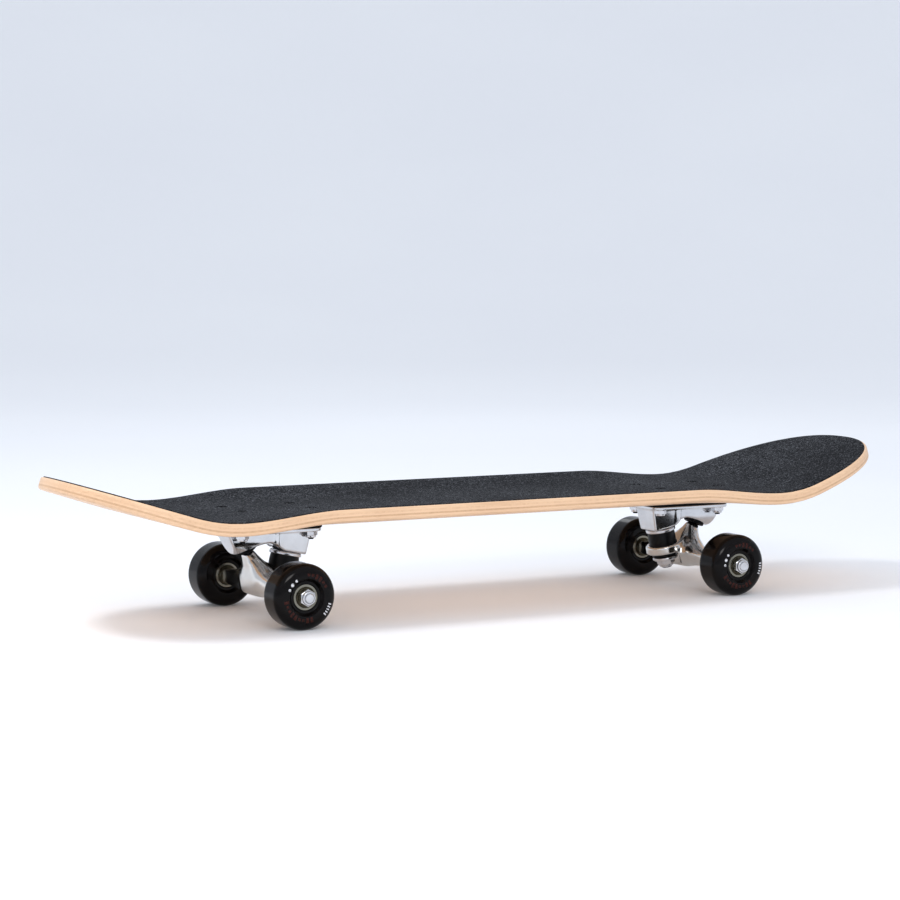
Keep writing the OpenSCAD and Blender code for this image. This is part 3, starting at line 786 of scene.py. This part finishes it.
def bolt_cutter():
    """One mesh of all eight bolt holes, countersunk and longer than the deck is thick."""
    foot, top = 60, DECK_TOP + 8
    hole, sink = BOLT_R + HOLE_CLEAR, HEAD_R + HOLE_CLEAR
    profile = [(0, foot), (hole, foot), (hole, DECK_TOP - HEAD_H),
               (sink, DECK_TOP - 0.001), (sink, top), (0, top)]
    shapes = [
        shifted(lathe(profile, ROD_STEPS), x_truck + x, y)
        for x_truck in (-PATTERN_X, PATTERN_X) for x, y in at_bolts()
    ]
    cutter = bpy.data.objects.new("bolt_cutter", mesh_of("bolt_cutter", *shapes))
    bpy.context.scene.collection.objects.link(cutter)
    return cutter


def drilled(mesh, cutter):
    """A copy of the mesh with the bolt holes cut through it."""
    work = bpy.data.objects.new("drilling", mesh)
    bpy.context.scene.collection.objects.link(work)
    cut = work.modifiers.new("holes", "BOOLEAN")
    cut.operation = "DIFFERENCE"
    cut.solver = "EXACT"
    cut.object = cutter
    bpy.context.view_layer.update()
    cut_work = work.evaluated_get(bpy.context.evaluated_depsgraph_get())
    made = bpy.data.meshes.new_from_object(cut_work)
    made.name = mesh.name
    made.materials.clear()
    bpy.data.objects.remove(work)
    return smooth_mesh(made)


def make_deck():
    cutter = bolt_cutter()
    for n in range(PLY_COUNT):
        top, bottom = n * PLY_T, (n + 1) * PLY_T
        depths = np.linspace(top, bottom, EDGE_STEPS)
        levels = [(-d, edge_inset(d) + (GLUE_NOTCH if d in (top, bottom) else 0)) for d in depths]
        lanes = OPEN_LANES if n == PLY_COUNT - 1 else HIDDEN_LANES
        mesh = drilled(mesh_of(f"veneer_{n + 1}", sheet_solid(levels, lanes)), cutter)
        grain = VENEERS.get(n, LONG_GRAIN)
        piece(f"veneer_{n + 1}", mesh, Matrix.Identity(4), "root", grain, "maple", "deck")
    trim = edge_inset(0.0)
    levels = [(height, trim + inset) for height, inset in GRIP_BEVEL]
    mesh = drilled(mesh_of("grip_sheet", sheet_solid(levels, OPEN_LANES)), cutter)
    piece("grip_sheet", mesh, Matrix.Identity(4), "root", GRIT, "grip", "griptape")
    bpy.data.objects.remove(cutter)


# ---- Fasteners ----

# Shares of a lock nut's half width across flats, and of its height.
NUT_FACE = 0.97
NUT_COLLAR = 0.93
NUT_HEX = 0.68
NUT_CHAMFER_SLOPE = 0.55
NUT_CHAMFER_STEPS = 6
COLLAR_ROLL_R = 0.8
THREAD_STEPS = 8


def lock_nut(af, h, bore):
    """Nut standing on z = 0: a chamfered hexagon with a rolled collar."""
    corner = af / 2 / math.cos(math.pi / 6)
    flat = af / 2 * NUT_FACE
    hex_h = h * NUT_HEX
    slope = (corner - flat) * NUT_CHAMFER_SLOPE
    collar = af / 2 * NUT_COLLAR
    steps = NUT_CHAMFER_STEPS
    rows = [(bore, 0.25), (bore + 0.3, 0.0), (flat, 0.0)]
    rows += [(flat + (corner - flat) * k / steps, slope * k / steps) for k in range(1, steps + 1)]
    rows += [(corner - (corner - flat) * k / steps, hex_h - slope * (1 - k / steps))
             for k in range(steps + 1)]
    rows += [(collar, hex_h + 0.05), (collar - 0.1, h - 0.9)]
    rows += arc((collar - 0.9, h - COLLAR_ROLL_R), COLLAR_ROLL_R, 0, 90, 5)
    rows += [(collar - 1.4, h), (collar - 1.6, h - 0.35), (bore, h - 0.35)]
    return lathe(rows, radius=hexagon(af), closed=True)


def nylon_ring(af, h, bore):
    """The nylon ring inside a lock nut's collar."""
    outer = af / 2 * NUT_COLLAR - 1.62
    rows = [(bore, h - 1.2), (outer, h - 1.2), (outer, h - 0.3)]
    rows += [(outer - 0.25, h - 0.12), (bore + 0.2, h - 0.12), (bore, h - 0.3)]
    return lathe(rows, 64, closed=True)


def rod(r, low, high, threaded, pitch, depth=0.35, chamfer=0.5):
    """Rod along Z, threaded over its last length at the high end."""
    start = high - threaded
    steps = int(threaded / pitch * THREAD_STEPS)
    rows = [(0, low), (r - chamfer, low), (r, low + chamfer), (r, start - 0.01)]
    rows += [(r, z) for z in np.linspace(start, high - chamfer, steps)]
    rows += [(r - chamfer, high), (0, high)]
    return lathe(rows, ROD_STEPS, thread(r - 0.01, start, high - chamfer, pitch, depth))


def flipped(shape, z=0.0):
    """A shape turned upside down about z = 0 and then raised by z."""
    return shape[0] * (1, 1, -1) + (0, 0, z), shape[1]


CROSS_DEPTH = 1.9
CROSS_REACH = (2.45, 1.15)
CROSS_BLADE = (0.62, 0.40)


def cross_head_field(x, y, z):
    """Countersunk bolt head with a low crown and a tapered cross recess."""
    r = np.hypot(x, y)
    lean = 0.75
    crown = 0.012 * r * r
    cone = (r - BOLT_R - (z + HEAD_H) * (HEAD_R - BOLT_R) / HEAD_H) * lean
    head = blend_max(np.maximum(cone, r - HEAD_R), z - HEAD_PROUD + crown, 0.25)
    head = np.maximum(head, -HEAD_H - z)
    depth = np.clip((HEAD_PROUD - z) / CROSS_DEPTH, 0, 1)
    reach = CROSS_REACH[0] - (CROSS_REACH[0] - CROSS_REACH[1]) * depth
    blade = CROSS_BLADE[0] - (CROSS_BLADE[0] - CROSS_BLADE[1]) * depth
    floor = HEAD_PROUD - CROSS_DEPTH - z
    slots = [
        np.maximum(np.maximum(np.abs(a) - reach, np.abs(b) - blade), floor)
        for a, b in ((x, y), (y, x))
    ]
    return blend_max(head, -blend_min(*slots, 0.25), 0.12)


def make_mounting_hardware():
    reach = HEAD_R + 0.4
    low, high = (-reach, -reach, -HEAD_H - 0.3), (reach, reach, HEAD_PROUD + 0.4)
    head = shifted(surface(cross_head_field, low, high, 0.16), z=DECK_TOP)
    foot = PLATE_BOTTOM - NUT_H - BOLT_TIP
    shaft = flipped(rod(BOLT_R, -DECK_TOP + HEAD_H - 0.1, -foot, 9.0, 0.8, 0.25, 0.35))
    nut = flipped(lock_nut(NUT_AF, NUT_H, BOLT_R), PLATE_BOTTOM)
    ring = flipped(nylon_ring(NUT_AF, NUT_H, BOLT_R), PLATE_BOTTOM)

    def four(name, *shapes, sharp=SHARP):
        placed = [shifted(shape, x, y) for x, y in at_bolts() for shape in shapes]
        return mesh_of(name, *placed, sharp=sharp)

    bolts = four("deck_bolts", head, shaft, sharp=40)
    nuts = four("deck_nuts", nut, sharp=25)
    rings = four("deck_nut_inserts", ring)
    for end in ENDS:
        place = truck_frame(end)
        piece(f"deck_bolts_{end}", bolts, place, "root", BLACK_STEEL, "black_steel",
              f"mounting_bolts_{end}")
        piece(f"deck_nuts_{end}", nuts, place, "root", ZINC, "zinc_steel", f"mounting_nuts_{end}")
        piece(f"deck_nut_inserts_{end}", rings, place, "root", NYLON, "nylon")


# ---- Trucks ----

def kingpin_place(u, w):
    """Distance along the kingpin and inward of it, for a point of the truck's middle plane."""
    du, dw = u - KINGPIN_SEAT[0], w - KINGPIN_SEAT[1]
    sine, cosine = math.sin(KINGPIN_TILT), math.cos(KINGPIN_TILT)
    return sine * du - cosine * dw, -cosine * du - sine * dw


def pivot_place(u, w):
    """Distance into the pivot cup and outward of its axis."""
    du, dw = u - PIVOT_MOUTH[0], w - PIVOT_MOUTH[1]
    sine, cosine = math.sin(PIVOT_TILT), math.cos(PIVOT_TILT)
    return sine * du + cosine * dw, cosine * du - sine * dw


# Castings are drawn in the truck's own frame: u along the board, v across it, w up. Places in its
# middle plane are (u, w).
BORE_CLEAR = 0.2
EDGE_K = 0.4
BLOCK_TOE = (KINGPIN_SEAT[0] - 13.2, KINGPIN_SEAT[1] - 2.8)
BLOCK_TOE_TOP = (5.5 - PLATE_HALF[0], PLATE_TOP - 1.7)
BLOCK_HEEL = (KINGPIN_SEAT[0] + 9.8, KINGPIN_SEAT[1] + 2.1)
BLOCK_HALF_W = 12.9
BLOCK_DRAFT = math.tan(math.radians(5.2))
BLOCK_END = -5
WEB_BOTTOM = PLATE_TOP - 13
WEB_HALF = 28
WEB_START = -2.5
HOUSING_LIP = (PIVOT_MOUTH[0] + 11.9, PIVOT_MOUTH[1] - 5.3)
HOUSING_TOP = (PLATE_HALF[0] - 2, PLATE_TOP - 7.4)
BARREL_R = 12.5
BARREL_DROP = 10.8
BARREL_START = -8
NUT_POCKET_R = 6.3
KINGPIN_POCKET_R = 8.5


def plate_field(u, v, w):
    """The flat mounting plate with its rounded corners."""
    corner_u = np.abs(u) - PLATE_HALF[0] + PLATE_CORNER_R
    corner_v = np.abs(v) - PLATE_HALF[1] + PLATE_CORNER_R
    outline = np.hypot(np.maximum(corner_u, 0), np.maximum(corner_v, 0))
    outline += np.minimum(np.maximum(corner_u, corner_v), 0) - PLATE_CORNER_R
    return blend_max(outline, np.abs(w - PLATE_TOP + PLATE_T / 2) - PLATE_T / 2, 1.0)


def baseplate_field(u, v, w):
    """Plate, kingpin block, web and pivot housing, with their bores and pockets."""
    s, t = kingpin_place(u, w)
    z, x = pivot_place(u, w)
    wide = np.abs(v)

    block = blend_max(s, -side_of(u, w, BLOCK_TOE, BLOCK_TOE_TOP), 1.6)
    block = blend_max(block, -side_of(u, w, (WEB_START, WEB_BOTTOM), BLOCK_HEEL), 2.5)
    housing = blend_max(-z, side_of(u, w, HOUSING_LIP, HOUSING_TOP), 2.0)
    web = blend_max(WEB_BOTTOM - w, np.abs(u) - WEB_HALF, 1.0)
    side = blend_min(block, blend_min(web, housing, 4.0), 6.0)

    block_w = wide - BLOCK_HALF_W - (w - BLOCK_TOE[1]) * BLOCK_DRAFT
    barrel_w = np.hypot(v, np.minimum(w - PLATE_TOP + BARREL_DROP, 0)) - BARREL_R
    width = blend_min(
        blend_max(block_w, u - BLOCK_END, 1.0), blend_max(barrel_w, BARREL_START - u, 1.0), 4.0)
    cast = np.maximum(blend_max(side, width, 1.8), w - PLATE_TOP + 1)
    body = blend_min(plate_field(u, v, w), cast, 2.4)

    bolt = np.hypot(np.abs(u) - PATTERN_L / 2, wide - PATTERN_W / 2)
    pin = np.hypot(t, v)
    for cut in (
        np.maximum(bolt - NUT_POCKET_R, w - PLATE_BOTTOM),
        bolt - BOLT_R - BORE_CLEAR,
        np.maximum(pin - KINGPIN_R - BORE_CLEAR, KINGPIN_HEAD_S - s),
        np.maximum(pin - KINGPIN_POCKET_R, s - KINGPIN_HEAD_S),
        np.maximum(np.hypot(x, v) - CUP_R, z - CUP_H),
    ):
        body = blend_max(body, -cut, EDGE_K)
    return body


RING_EDGE_K = 2.4
YOKE_START = (-11.0, 35.0)
YOKE_R = (3.9, 7.9)
YOKE_HALF_W = 14.5
STEM_LEAN = 0.35
SEAT_GAP = 0.3
RING_BORE_R = KINGPIN_R + 2.4
WASHER_GAP = 2.1
WASHER_SWAY = 2.5
AXLE_BORE_R = AXLE_R + 0.02


def hanger_body(u, v, w):
    """The solid hanger: arms, a yoke up to the kingpin's ring, the stem and its pivot nose."""
    s, t = kingpin_place(u, w)
    z, x = pivot_place(u, w)
    wide = np.abs(v)
    arm_r = np.interp(wide, ARM_Y, ARM_R)
    beam = (oval((u - AXLE_OUT) / arm_r, (w - AXLE_Z) / arm_r, 3.0) - 1) * arm_r
    beam = blend_max(beam, wide - HANGER_HALF, 1.2)

    ring = capped(np.hypot(t, v), s, RING_R, *RING_S, RING_EDGE_K)
    yoke_u, yoke_w = u - YOKE_START[0], w - YOKE_START[1]
    du, dw = AXLE_OUT - YOKE_START[0], AXLE_Z - YOKE_START[1]
    share = clamp((yoke_u * du + yoke_w * dw) / (du * du + dw * dw))
    yoke_r = YOKE_R[0] + (YOKE_R[1] - YOKE_R[0]) * share
    yoke = np.hypot(yoke_u - share * du, yoke_w - share * dw) - yoke_r
    yoke = blend_max(yoke, wide - YOKE_HALF_W, 5.0)

    half_v = np.interp(-z, STEM_Z, STEM_V)
    half_x = np.interp(-z, STEM_Z, STEM_X)
    lean = STEM_LEAN * (half_x - STEM_R)
    stem = (oval(v / half_v, (x + lean) / half_x, 2.6) - 1) * np.minimum(half_v, half_x)
    stem = blend_max(stem, np.maximum(z - PIVOT_DEPTH, -STEM_Z[-1] - z), 0.8)
    nose = np.sqrt(x * x + v * v + (z - PIVOT_DEPTH) ** 2) - PIVOT_NOSE_R

    body = blend_min(beam, yoke, 6.0)
    body = blend_min(body, ring, 3.0)
    # The stem's fillet is wide at the arms and fades out before the cup.
    body = blend_min(body, stem, 9.0 * clamp((4 - z) / 12) + 0.5)
    return blend_min(body, nose, 0.6)


def hanger_field(u, v, w):
    """The hanger with its bushing seats, kingpin hole, washer clearance and axle bore."""
    s, t = kingpin_place(u, w)
    pin = np.hypot(t, v)
    sway = np.maximum(np.abs(v) - WASHER_SWAY, 0)
    swung = np.hypot(t, sway) - LOWER_R - WASHER_GAP
    below = blend_min(swung, -WASHER_SWAY - t, 3.0)
    body = hanger_body(u, v, w)
    for cut, k in (
        (np.maximum(pin - UPPER_R - SEAT_GAP, s - UPPER_S[1]), 0.5),
        (pin - RING_BORE_R, 0.5),
        (np.maximum(pin - LOWER_R - SEAT_GAP, LOWER_S[0] - s), 0.5),
        (np.maximum(below, RING_S[1] - s), 2.2),
        (np.hypot(u - AXLE_OUT, w - AXLE_Z) - AXLE_BORE_R, 0.3),
    ):
        body = blend_max(body, -cut, k)
    return body


CASTING_SHARP = 60
WASHER_OVER = 1.3
KINGPIN_HEAD = {"height": 5, "face_r": 6.6, "corner_r": 8.3, "chamfer": 1}
BUSHING_SWELL = 0.35
BUSHING_EDGE = 0.8


def cup_washer(bushing_r):
    """Cupped washer standing on z = 0, with its rim upward around a bushing."""
    r, rim = bushing_r + WASHER_OVER, WASHER_T + WASHER_RIM
    rows = [(KINGPIN_R + 0.2, 0.15), (KINGPIN_R + 0.35, 0)]
    rows += arc((r - 1.4, 1.4), 1.4, -90, 0, 6)
    rows += arc((r - 0.45, rim - 0.45), 0.45, 0, 180, 6)
    rows += arc((r - 1.4, WASHER_T + 0.5), 0.5, 0, -90, 4)
    rows += [(KINGPIN_R + 0.35, WASHER_T), (KINGPIN_R + 0.2, WASHER_T - 0.15)]
    return lathe(rows, closed=True)


def bushing(r_top, r_bottom, low, high):
    """Slightly barrelled bushing between two heights."""
    edge = BUSHING_EDGE
    rows = [(KINGPIN_R + 0.2, low), (r_top - edge, low)]
    rows += arc((r_top - edge, low + edge), edge, -90, 0, 4)[1:]
    for q in np.linspace(0.05, 0.95, 10):
        r = r_top + (r_bottom - r_top) * q + BUSHING_SWELL * math.sin(math.pi * q)
        rows.append((r, low + edge + (high - low - 2 * edge) * q))
    rows += arc((r_bottom - edge, high - edge), edge, 0, 90, 4)
    rows += [(KINGPIN_R + 0.2, high)]
    return lathe(rows, closed=True)


def pivot_cup():
    """Rubber cup with a rolled flange and a round bottom that the pivot nose sits in."""
    outer, thick = CUP_FLANGE
    inner = PIVOT_NOSE_R + 0.1
    clear = 0.02
    wall, top = CUP_R - clear, CUP_H - clear
    rows = [(0, top), (CUP_R - 0.6, top), (wall, CUP_H - 0.6), (wall, clear), (outer - 0.5, clear)]
    rows += arc((outer - 0.5, -0.5), 0.5, 90, 0, 4)
    rows += arc((outer - 0.8, -thick + 0.8), 0.8, 0, -90, 4)
    rows += arc((inner + 0.7, -thick + 0.7), 0.7, -90, -180, 4)
    rows += arc((0, PIVOT_DEPTH), inner, 0, 90, 10)
    return lathe(rows)


def kingpin_shapes():
    """The threaded rod and its hexagon head, which the riser pad hides."""
    size = KINGPIN_HEAD
    top = KINGPIN_HEAD_S - size["height"]
    head_rows = [(0, top), (size["face_r"], top), (size["corner_r"], top + size["chamfer"]),
                 (size["corner_r"], KINGPIN_HEAD_S), (0, KINGPIN_HEAD_S)]
    shank = rod(KINGPIN_R - 0.02, KINGPIN_HEAD_S - 1, KINGPIN_END_S, 10.0, 1.3, 0.5, 0.6)
    return shank, lathe(head_rows, radius=hexagon(KINGPIN_NUT_AF))


def axle_end():
    """One threaded end of the axle, without the rod's first bands of faces: its inner face,
    chamfer and the plain shaft, which the hanger and the bearings hide."""
    points, faces = rod(AXLE_R, 0, AXLE_END, 8.5, 1.0, 0.35, 0.5)
    hidden_bands = 3
    return points, faces[ROD_STEPS * hidden_bands:]


def with_mirror(shape):
    return shape, flipped(shape)


def make_trucks():
    plate = mesh_of("baseplate_casting", surface(
        baseplate_field, (-42.6, -29.4, 50.0), (42.6, 29.4, 77.4), 0.6), sharp=CASTING_SHARP)
    hanger = mesh_of("hanger_casting", surface(
        hanger_field, (-33, -66.2, 15.5), (31, 66.2, 71), 0.7), sharp=CASTING_SHARP)
    upper_washer = mesh_of("upper_washer", cup_washer(UPPER_R))
    lower_washer = mesh_of("lower_washer", flipped(cup_washer(LOWER_R), NUT_S[0]))
    upper_bushing = mesh_of("upper_bushing", bushing(UPPER_R - 0.3, UPPER_R - 0.1, *UPPER_S))
    lower_bushing = mesh_of("lower_bushing", bushing(LOWER_R - 0.1, LOWER_R - 0.5, *LOWER_S))
    cup = mesh_of("pivot_bush", pivot_cup())
    kingpin = mesh_of("kingpin_bolt", *kingpin_shapes(), sharp=30)
    kingpin_nut_size = (KINGPIN_NUT_AF, NUT_S[1] - NUT_S[0], KINGPIN_R)
    nut = shifted(lock_nut(*kingpin_nut_size), z=NUT_S[0])
    kingpin_nut = mesh_of("kingpin_lock_nut", nut, sharp=25)
    insert = mesh_of("kingpin_insert", shifted(nylon_ring(*kingpin_nut_size), z=NUT_S[0]))
    axle = mesh_of("axle_rod", *with_mirror(axle_end()), sharp=40)
    axle_nut_size = (AXLE_NUT_AF, AXLE_NUT_H, AXLE_R)
    end_nut = shifted(lock_nut(*axle_nut_size), z=AXLE_NUT_Y)
    end_ring = shifted(nylon_ring(*axle_nut_size), z=AXLE_NUT_Y)
    axle_nuts = mesh_of("axle_lock_nuts", *with_mirror(end_nut), sharp=25)
    axle_inserts = mesh_of("axle_inserts", *with_mirror(end_ring))

    for end in ENDS:
        truck, pin, line = truck_frame(end), kingpin_frame(end), axle_frame(end)
        swing = f"hanger_{end}"
        made = {}
        steel, nylon = (ZINC, "zinc_steel"), (NYLON, "nylon")
        soft = (BUSHING, "bushing")
        for mesh, place, body, look, *nodes in (
            (plate, truck, "root", (CAST, "cast_aluminium"), "baseplate"),
            (hanger, truck, swing, (POLISHED, "polished_aluminium"), "hanger"),
            (cup, pivot_frame(end), "root", (RUBBER, "bushing"), "pivot_cup"),
            (upper_washer, pin, "root", steel, "washer_upper"),
            (lower_washer, pin, "root", steel, "washer_lower"),
            (kingpin, pin, "root", steel, "kingpin"),
            (kingpin_nut, pin, "root", steel, "kingpin_nut"),
            (insert, pin, "root", nylon),
            (upper_bushing, pin, None, soft, "bushing_upper"),
            (lower_bushing, pin, None, soft, "bushing_lower"),
            (axle, line, swing, steel, "axle"),
            (axle_nuts, line, swing, steel, "axle_nuts"),
            (axle_inserts, line, swing, nylon),
        ):
            # Each bushing, left on no body, gets a mesh of its own.
            own = mesh if body else mesh.copy()
            stands_for = [f"{node}_{end}" for node in nodes]
            made[mesh.name] = piece(f"{mesh.name}_{end}", own, place, body, *look, *stands_for)
        for name, fixed, held in (
            ("upper_bushing", *UPPER_S), ("lower_bushing", *reversed(LOWER_S))
        ):
            rubber = made[name]
            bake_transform(rubber)
        dress(f"riser_pad_{end}", RUBBER)
        dress(f"speed_washers_{end}", ZINC)


# ---- Wheels and bearings ----

LIP_DROP = 9.0
LIP_W = 7.2
LIP_STEPS = 18
RECESS_R = 15.5
WHEEL_STEPS = 160
SHIELD_T = 0.22
WHEEL_SPIN = {"nose": math.radians(20), "tail": 0.0}


def wheel_profile():
    """One side of the wheel's section, from its core out to the tread."""
    half = WHEEL_W / 2
    chamfer, foot_r, rim_r = 0.4, 0.8, 0.6
    rows = [(CORE_R, SEAT_Z), (BEARING_R, SEAT_Z), (BEARING_R, FACE_Z - chamfer)]
    rows += [(BEARING_R + chamfer, FACE_Z), (RECESS_R - 2.6, FACE_Z)]
    rows += arc((RECESS_R - 2.6, FACE_Z + foot_r), foot_r, -90, -30, 3)[1:]
    rows += arc((RECESS_R + 0.55, half - rim_r), rim_r, 150, 90, 4)
    rows += [(RECESS_R + 1.8, half)]
    for k in range(1, LIP_STEPS + 1):
        a = math.pi / 2 * k / LIP_STEPS
        rows.append((WHEEL_R - LIP_DROP * (1 - math.sin(a)), half - LIP_W * (1 - math.cos(a))))
    rows += [(WHEEL_R, half - LIP_W - 2)]
    return rows


def mirrored(rows):
    return rows + [(r, -z) for r, z in reversed(rows)]


def race_rows(inner, outer):
    """A race's section, with a small chamfer inside and a larger one outside."""
    half, small, large = BEARING_W / 2, 0.1, 0.35
    below = [(inner, -half + small), (inner + small, -half), (outer - large, -half),
             (outer, -half + large)]
    return mirrored(below)


def shield_rows(side):
    """Pressed shield: a crimped outer bead, a flat and a shallow step to the inner race."""
    half = BEARING_W / 2
    bead, low = PITCH_R + RACE_GAP - 0.02, PITCH_R - RACE_GAP + 0.22
    crimp, flat, step = half - 0.1, half - 0.32, half - 0.15
    face = [(bead, step), (bead - 0.35, crimp), (bead - 0.6, flat), (low + 0.7, flat),
            (low + 0.45, step), (low, step)]
    back = [(r, z - SHIELD_T) for r, z in reversed(face)]
    return [(r, side * z) for r, z in face + back]


def make_wheels():
    tyre = mesh_of("urethane_wheel", lathe(mirrored(wheel_profile()), WHEEL_STEPS, closed=True))
    middle = SEAT_Z + BEARING_W / 2
    outers = mesh_of("outer_races", *[
        shifted(lathe(race_rows(PITCH_R + RACE_GAP, BEARING_R - 0.01), closed=True), z=z)
        for z in (-middle, middle)], sharp=30)
    shields = mesh_of("bearing_shields", *[
        shifted(lathe(shield_rows(side), closed=True), z=z)
        for z in (-middle, middle) for side in (-1, 1)], sharp=50)
    for end in ENDS:
        for side in SIDES:
            spot = f"{end}_{side}"
            place = wheel_frame(end, side)
            body = f"wheel_{spot}"
            spun = place @ turned_by(WHEEL_SPIN[end], "Z")
            piece(f"urethane_{spot}", tyre, spun, body, URETHANE, "urethane", f"wheel_{spot}")
            piece(f"outer_races_{spot}", outers, place, body, DARKENED_BEARING_STEEL, "bearing_steel",
                  f"bearing_outers_{spot}")
            piece(f"bearing_shields_{spot}", shields, place, body, DARKENED_SHIELD_STEEL, "bearing_steel",
                  f"shields_{spot}")
            dress(f"bearing_inners_{spot}", DARKENED_BEARING_STEEL)
            dress(f"balls_{spot}", DARKENED_BEARING_STEEL)
            dress(f"cages_{spot}", CAGE)
            dress(f"spacer_{spot}", ZINC)


# ---- Studio: a white bowl, soft lights and the camera ----

# The studio's lengths are in metres and the camera's angles in radians. Its lens is in mm.
FLOOR_R = 2.4
COVE_R = 6.0
WORLD_COLOUR = (0.87, 0.92, 1.0, 1.0)
WORLD_STRENGTH = 0.88
LAMPS = (
    # name, place, aim, size, watts, colour
    ("overhead", (-1.0, 0.2, 1.7), (-0.1, 0, 0), (0.6, 0.35), 12.0, (1.0, 0.99, 0.98)),
    ("key_front", (-0.7, -2.2, 1.4), (0, 0, 0.05), (1.0, 0.7), 15.0, (1.0, 0.98, 0.96)),
    ("rim_back", (1.2, 2.0, 1.5), (0, 0, 0.05), (1.4, 0.6), 4.0, (0.96, 0.98, 1.0)),
)
CAMERA_PLACE = (-1.1154, -1.9391, 0.3216)
CAMERA_YAW = -0.5097
CAMERA_PITCH = 0.0840
CAMERA_ROLL = 0.0031
CAMERA_LENS = 101.30
VIEW_GAMMA = 0.88


def make_bowl():
    """A flat floor that curves up into the backdrop on all sides."""
    rows = [(0, 0), (FLOOR_R / 3, 0), (FLOOR_R * 2 / 3, 0)]
    rows += arc((FLOOR_R, COVE_R), COVE_R, -90, -25, 32)
    points, faces = lathe(rows, 128)
    mesh = bpy.data.meshes.new("studio_bowl")
    mesh.from_pydata(points.tolist(), [], [tuple(face) for face in faces])
    for face in mesh.polygons:
        face.use_smooth = True
    mesh.materials.append(studio_white())
    bowl = bpy.data.objects.new("studio_bowl", mesh)
    bpy.context.scene.collection.objects.link(bowl)


def make_lights():
    world = bpy.data.worlds.new("studio_light")
    world.use_nodes = True
    sky = world.node_tree.nodes["Background"].inputs
    sky["Color"].default_value = WORLD_COLOUR
    sky["Strength"].default_value = WORLD_STRENGTH
    bpy.context.scene.world = world
    for name, place, aim, size, watts, colour in LAMPS:
        lamp = bpy.data.lights.new(name, "AREA")
        lamp.shape = "RECTANGLE"
        lamp.size, lamp.size_y = size
        lamp.energy = watts
        lamp.color = colour
        holder = bpy.data.objects.new(name, lamp)
        holder.location = place
        towards = Vector(aim) - Vector(place)
        holder.rotation_euler = towards.to_track_quat("-Z", "Y").to_euler()
        holder.visible_camera = False
        bpy.context.scene.collection.objects.link(holder)


def make_camera():
    yaw, pitch, roll = CAMERA_YAW, CAMERA_PITCH, CAMERA_ROLL
    flat = math.cos(pitch)
    ahead = Vector((-math.sin(yaw) * flat, math.cos(yaw) * flat, -math.sin(pitch)))
    right = Vector((math.cos(yaw), math.sin(yaw), 0))
    up = right.cross(ahead)
    across = right * math.cos(roll) + up * math.sin(roll)
    upward = up * math.cos(roll) - right * math.sin(roll)
    camera = bpy.data.objects.new("camera", bpy.data.cameras.new("camera"))
    camera.data.lens = CAMERA_LENS
    camera.data.clip_start = 0.1
    camera.data.clip_end = 50.0
    turn = Matrix((across, upward, -ahead)).transposed().to_4x4()
    camera.matrix_world = Matrix.Translation(CAMERA_PLACE) @ turn
    bpy.context.scene.collection.objects.link(camera)
    bpy.context.scene.camera = camera
    bpy.context.scene.view_settings.view_transform = "Standard"
    bpy.context.scene.view_settings.gamma = VIEW_GAMMA


make_camera()
make_bowl()
make_lights()
make_deck()
make_mounting_hardware()
make_trucks()
make_wheels()
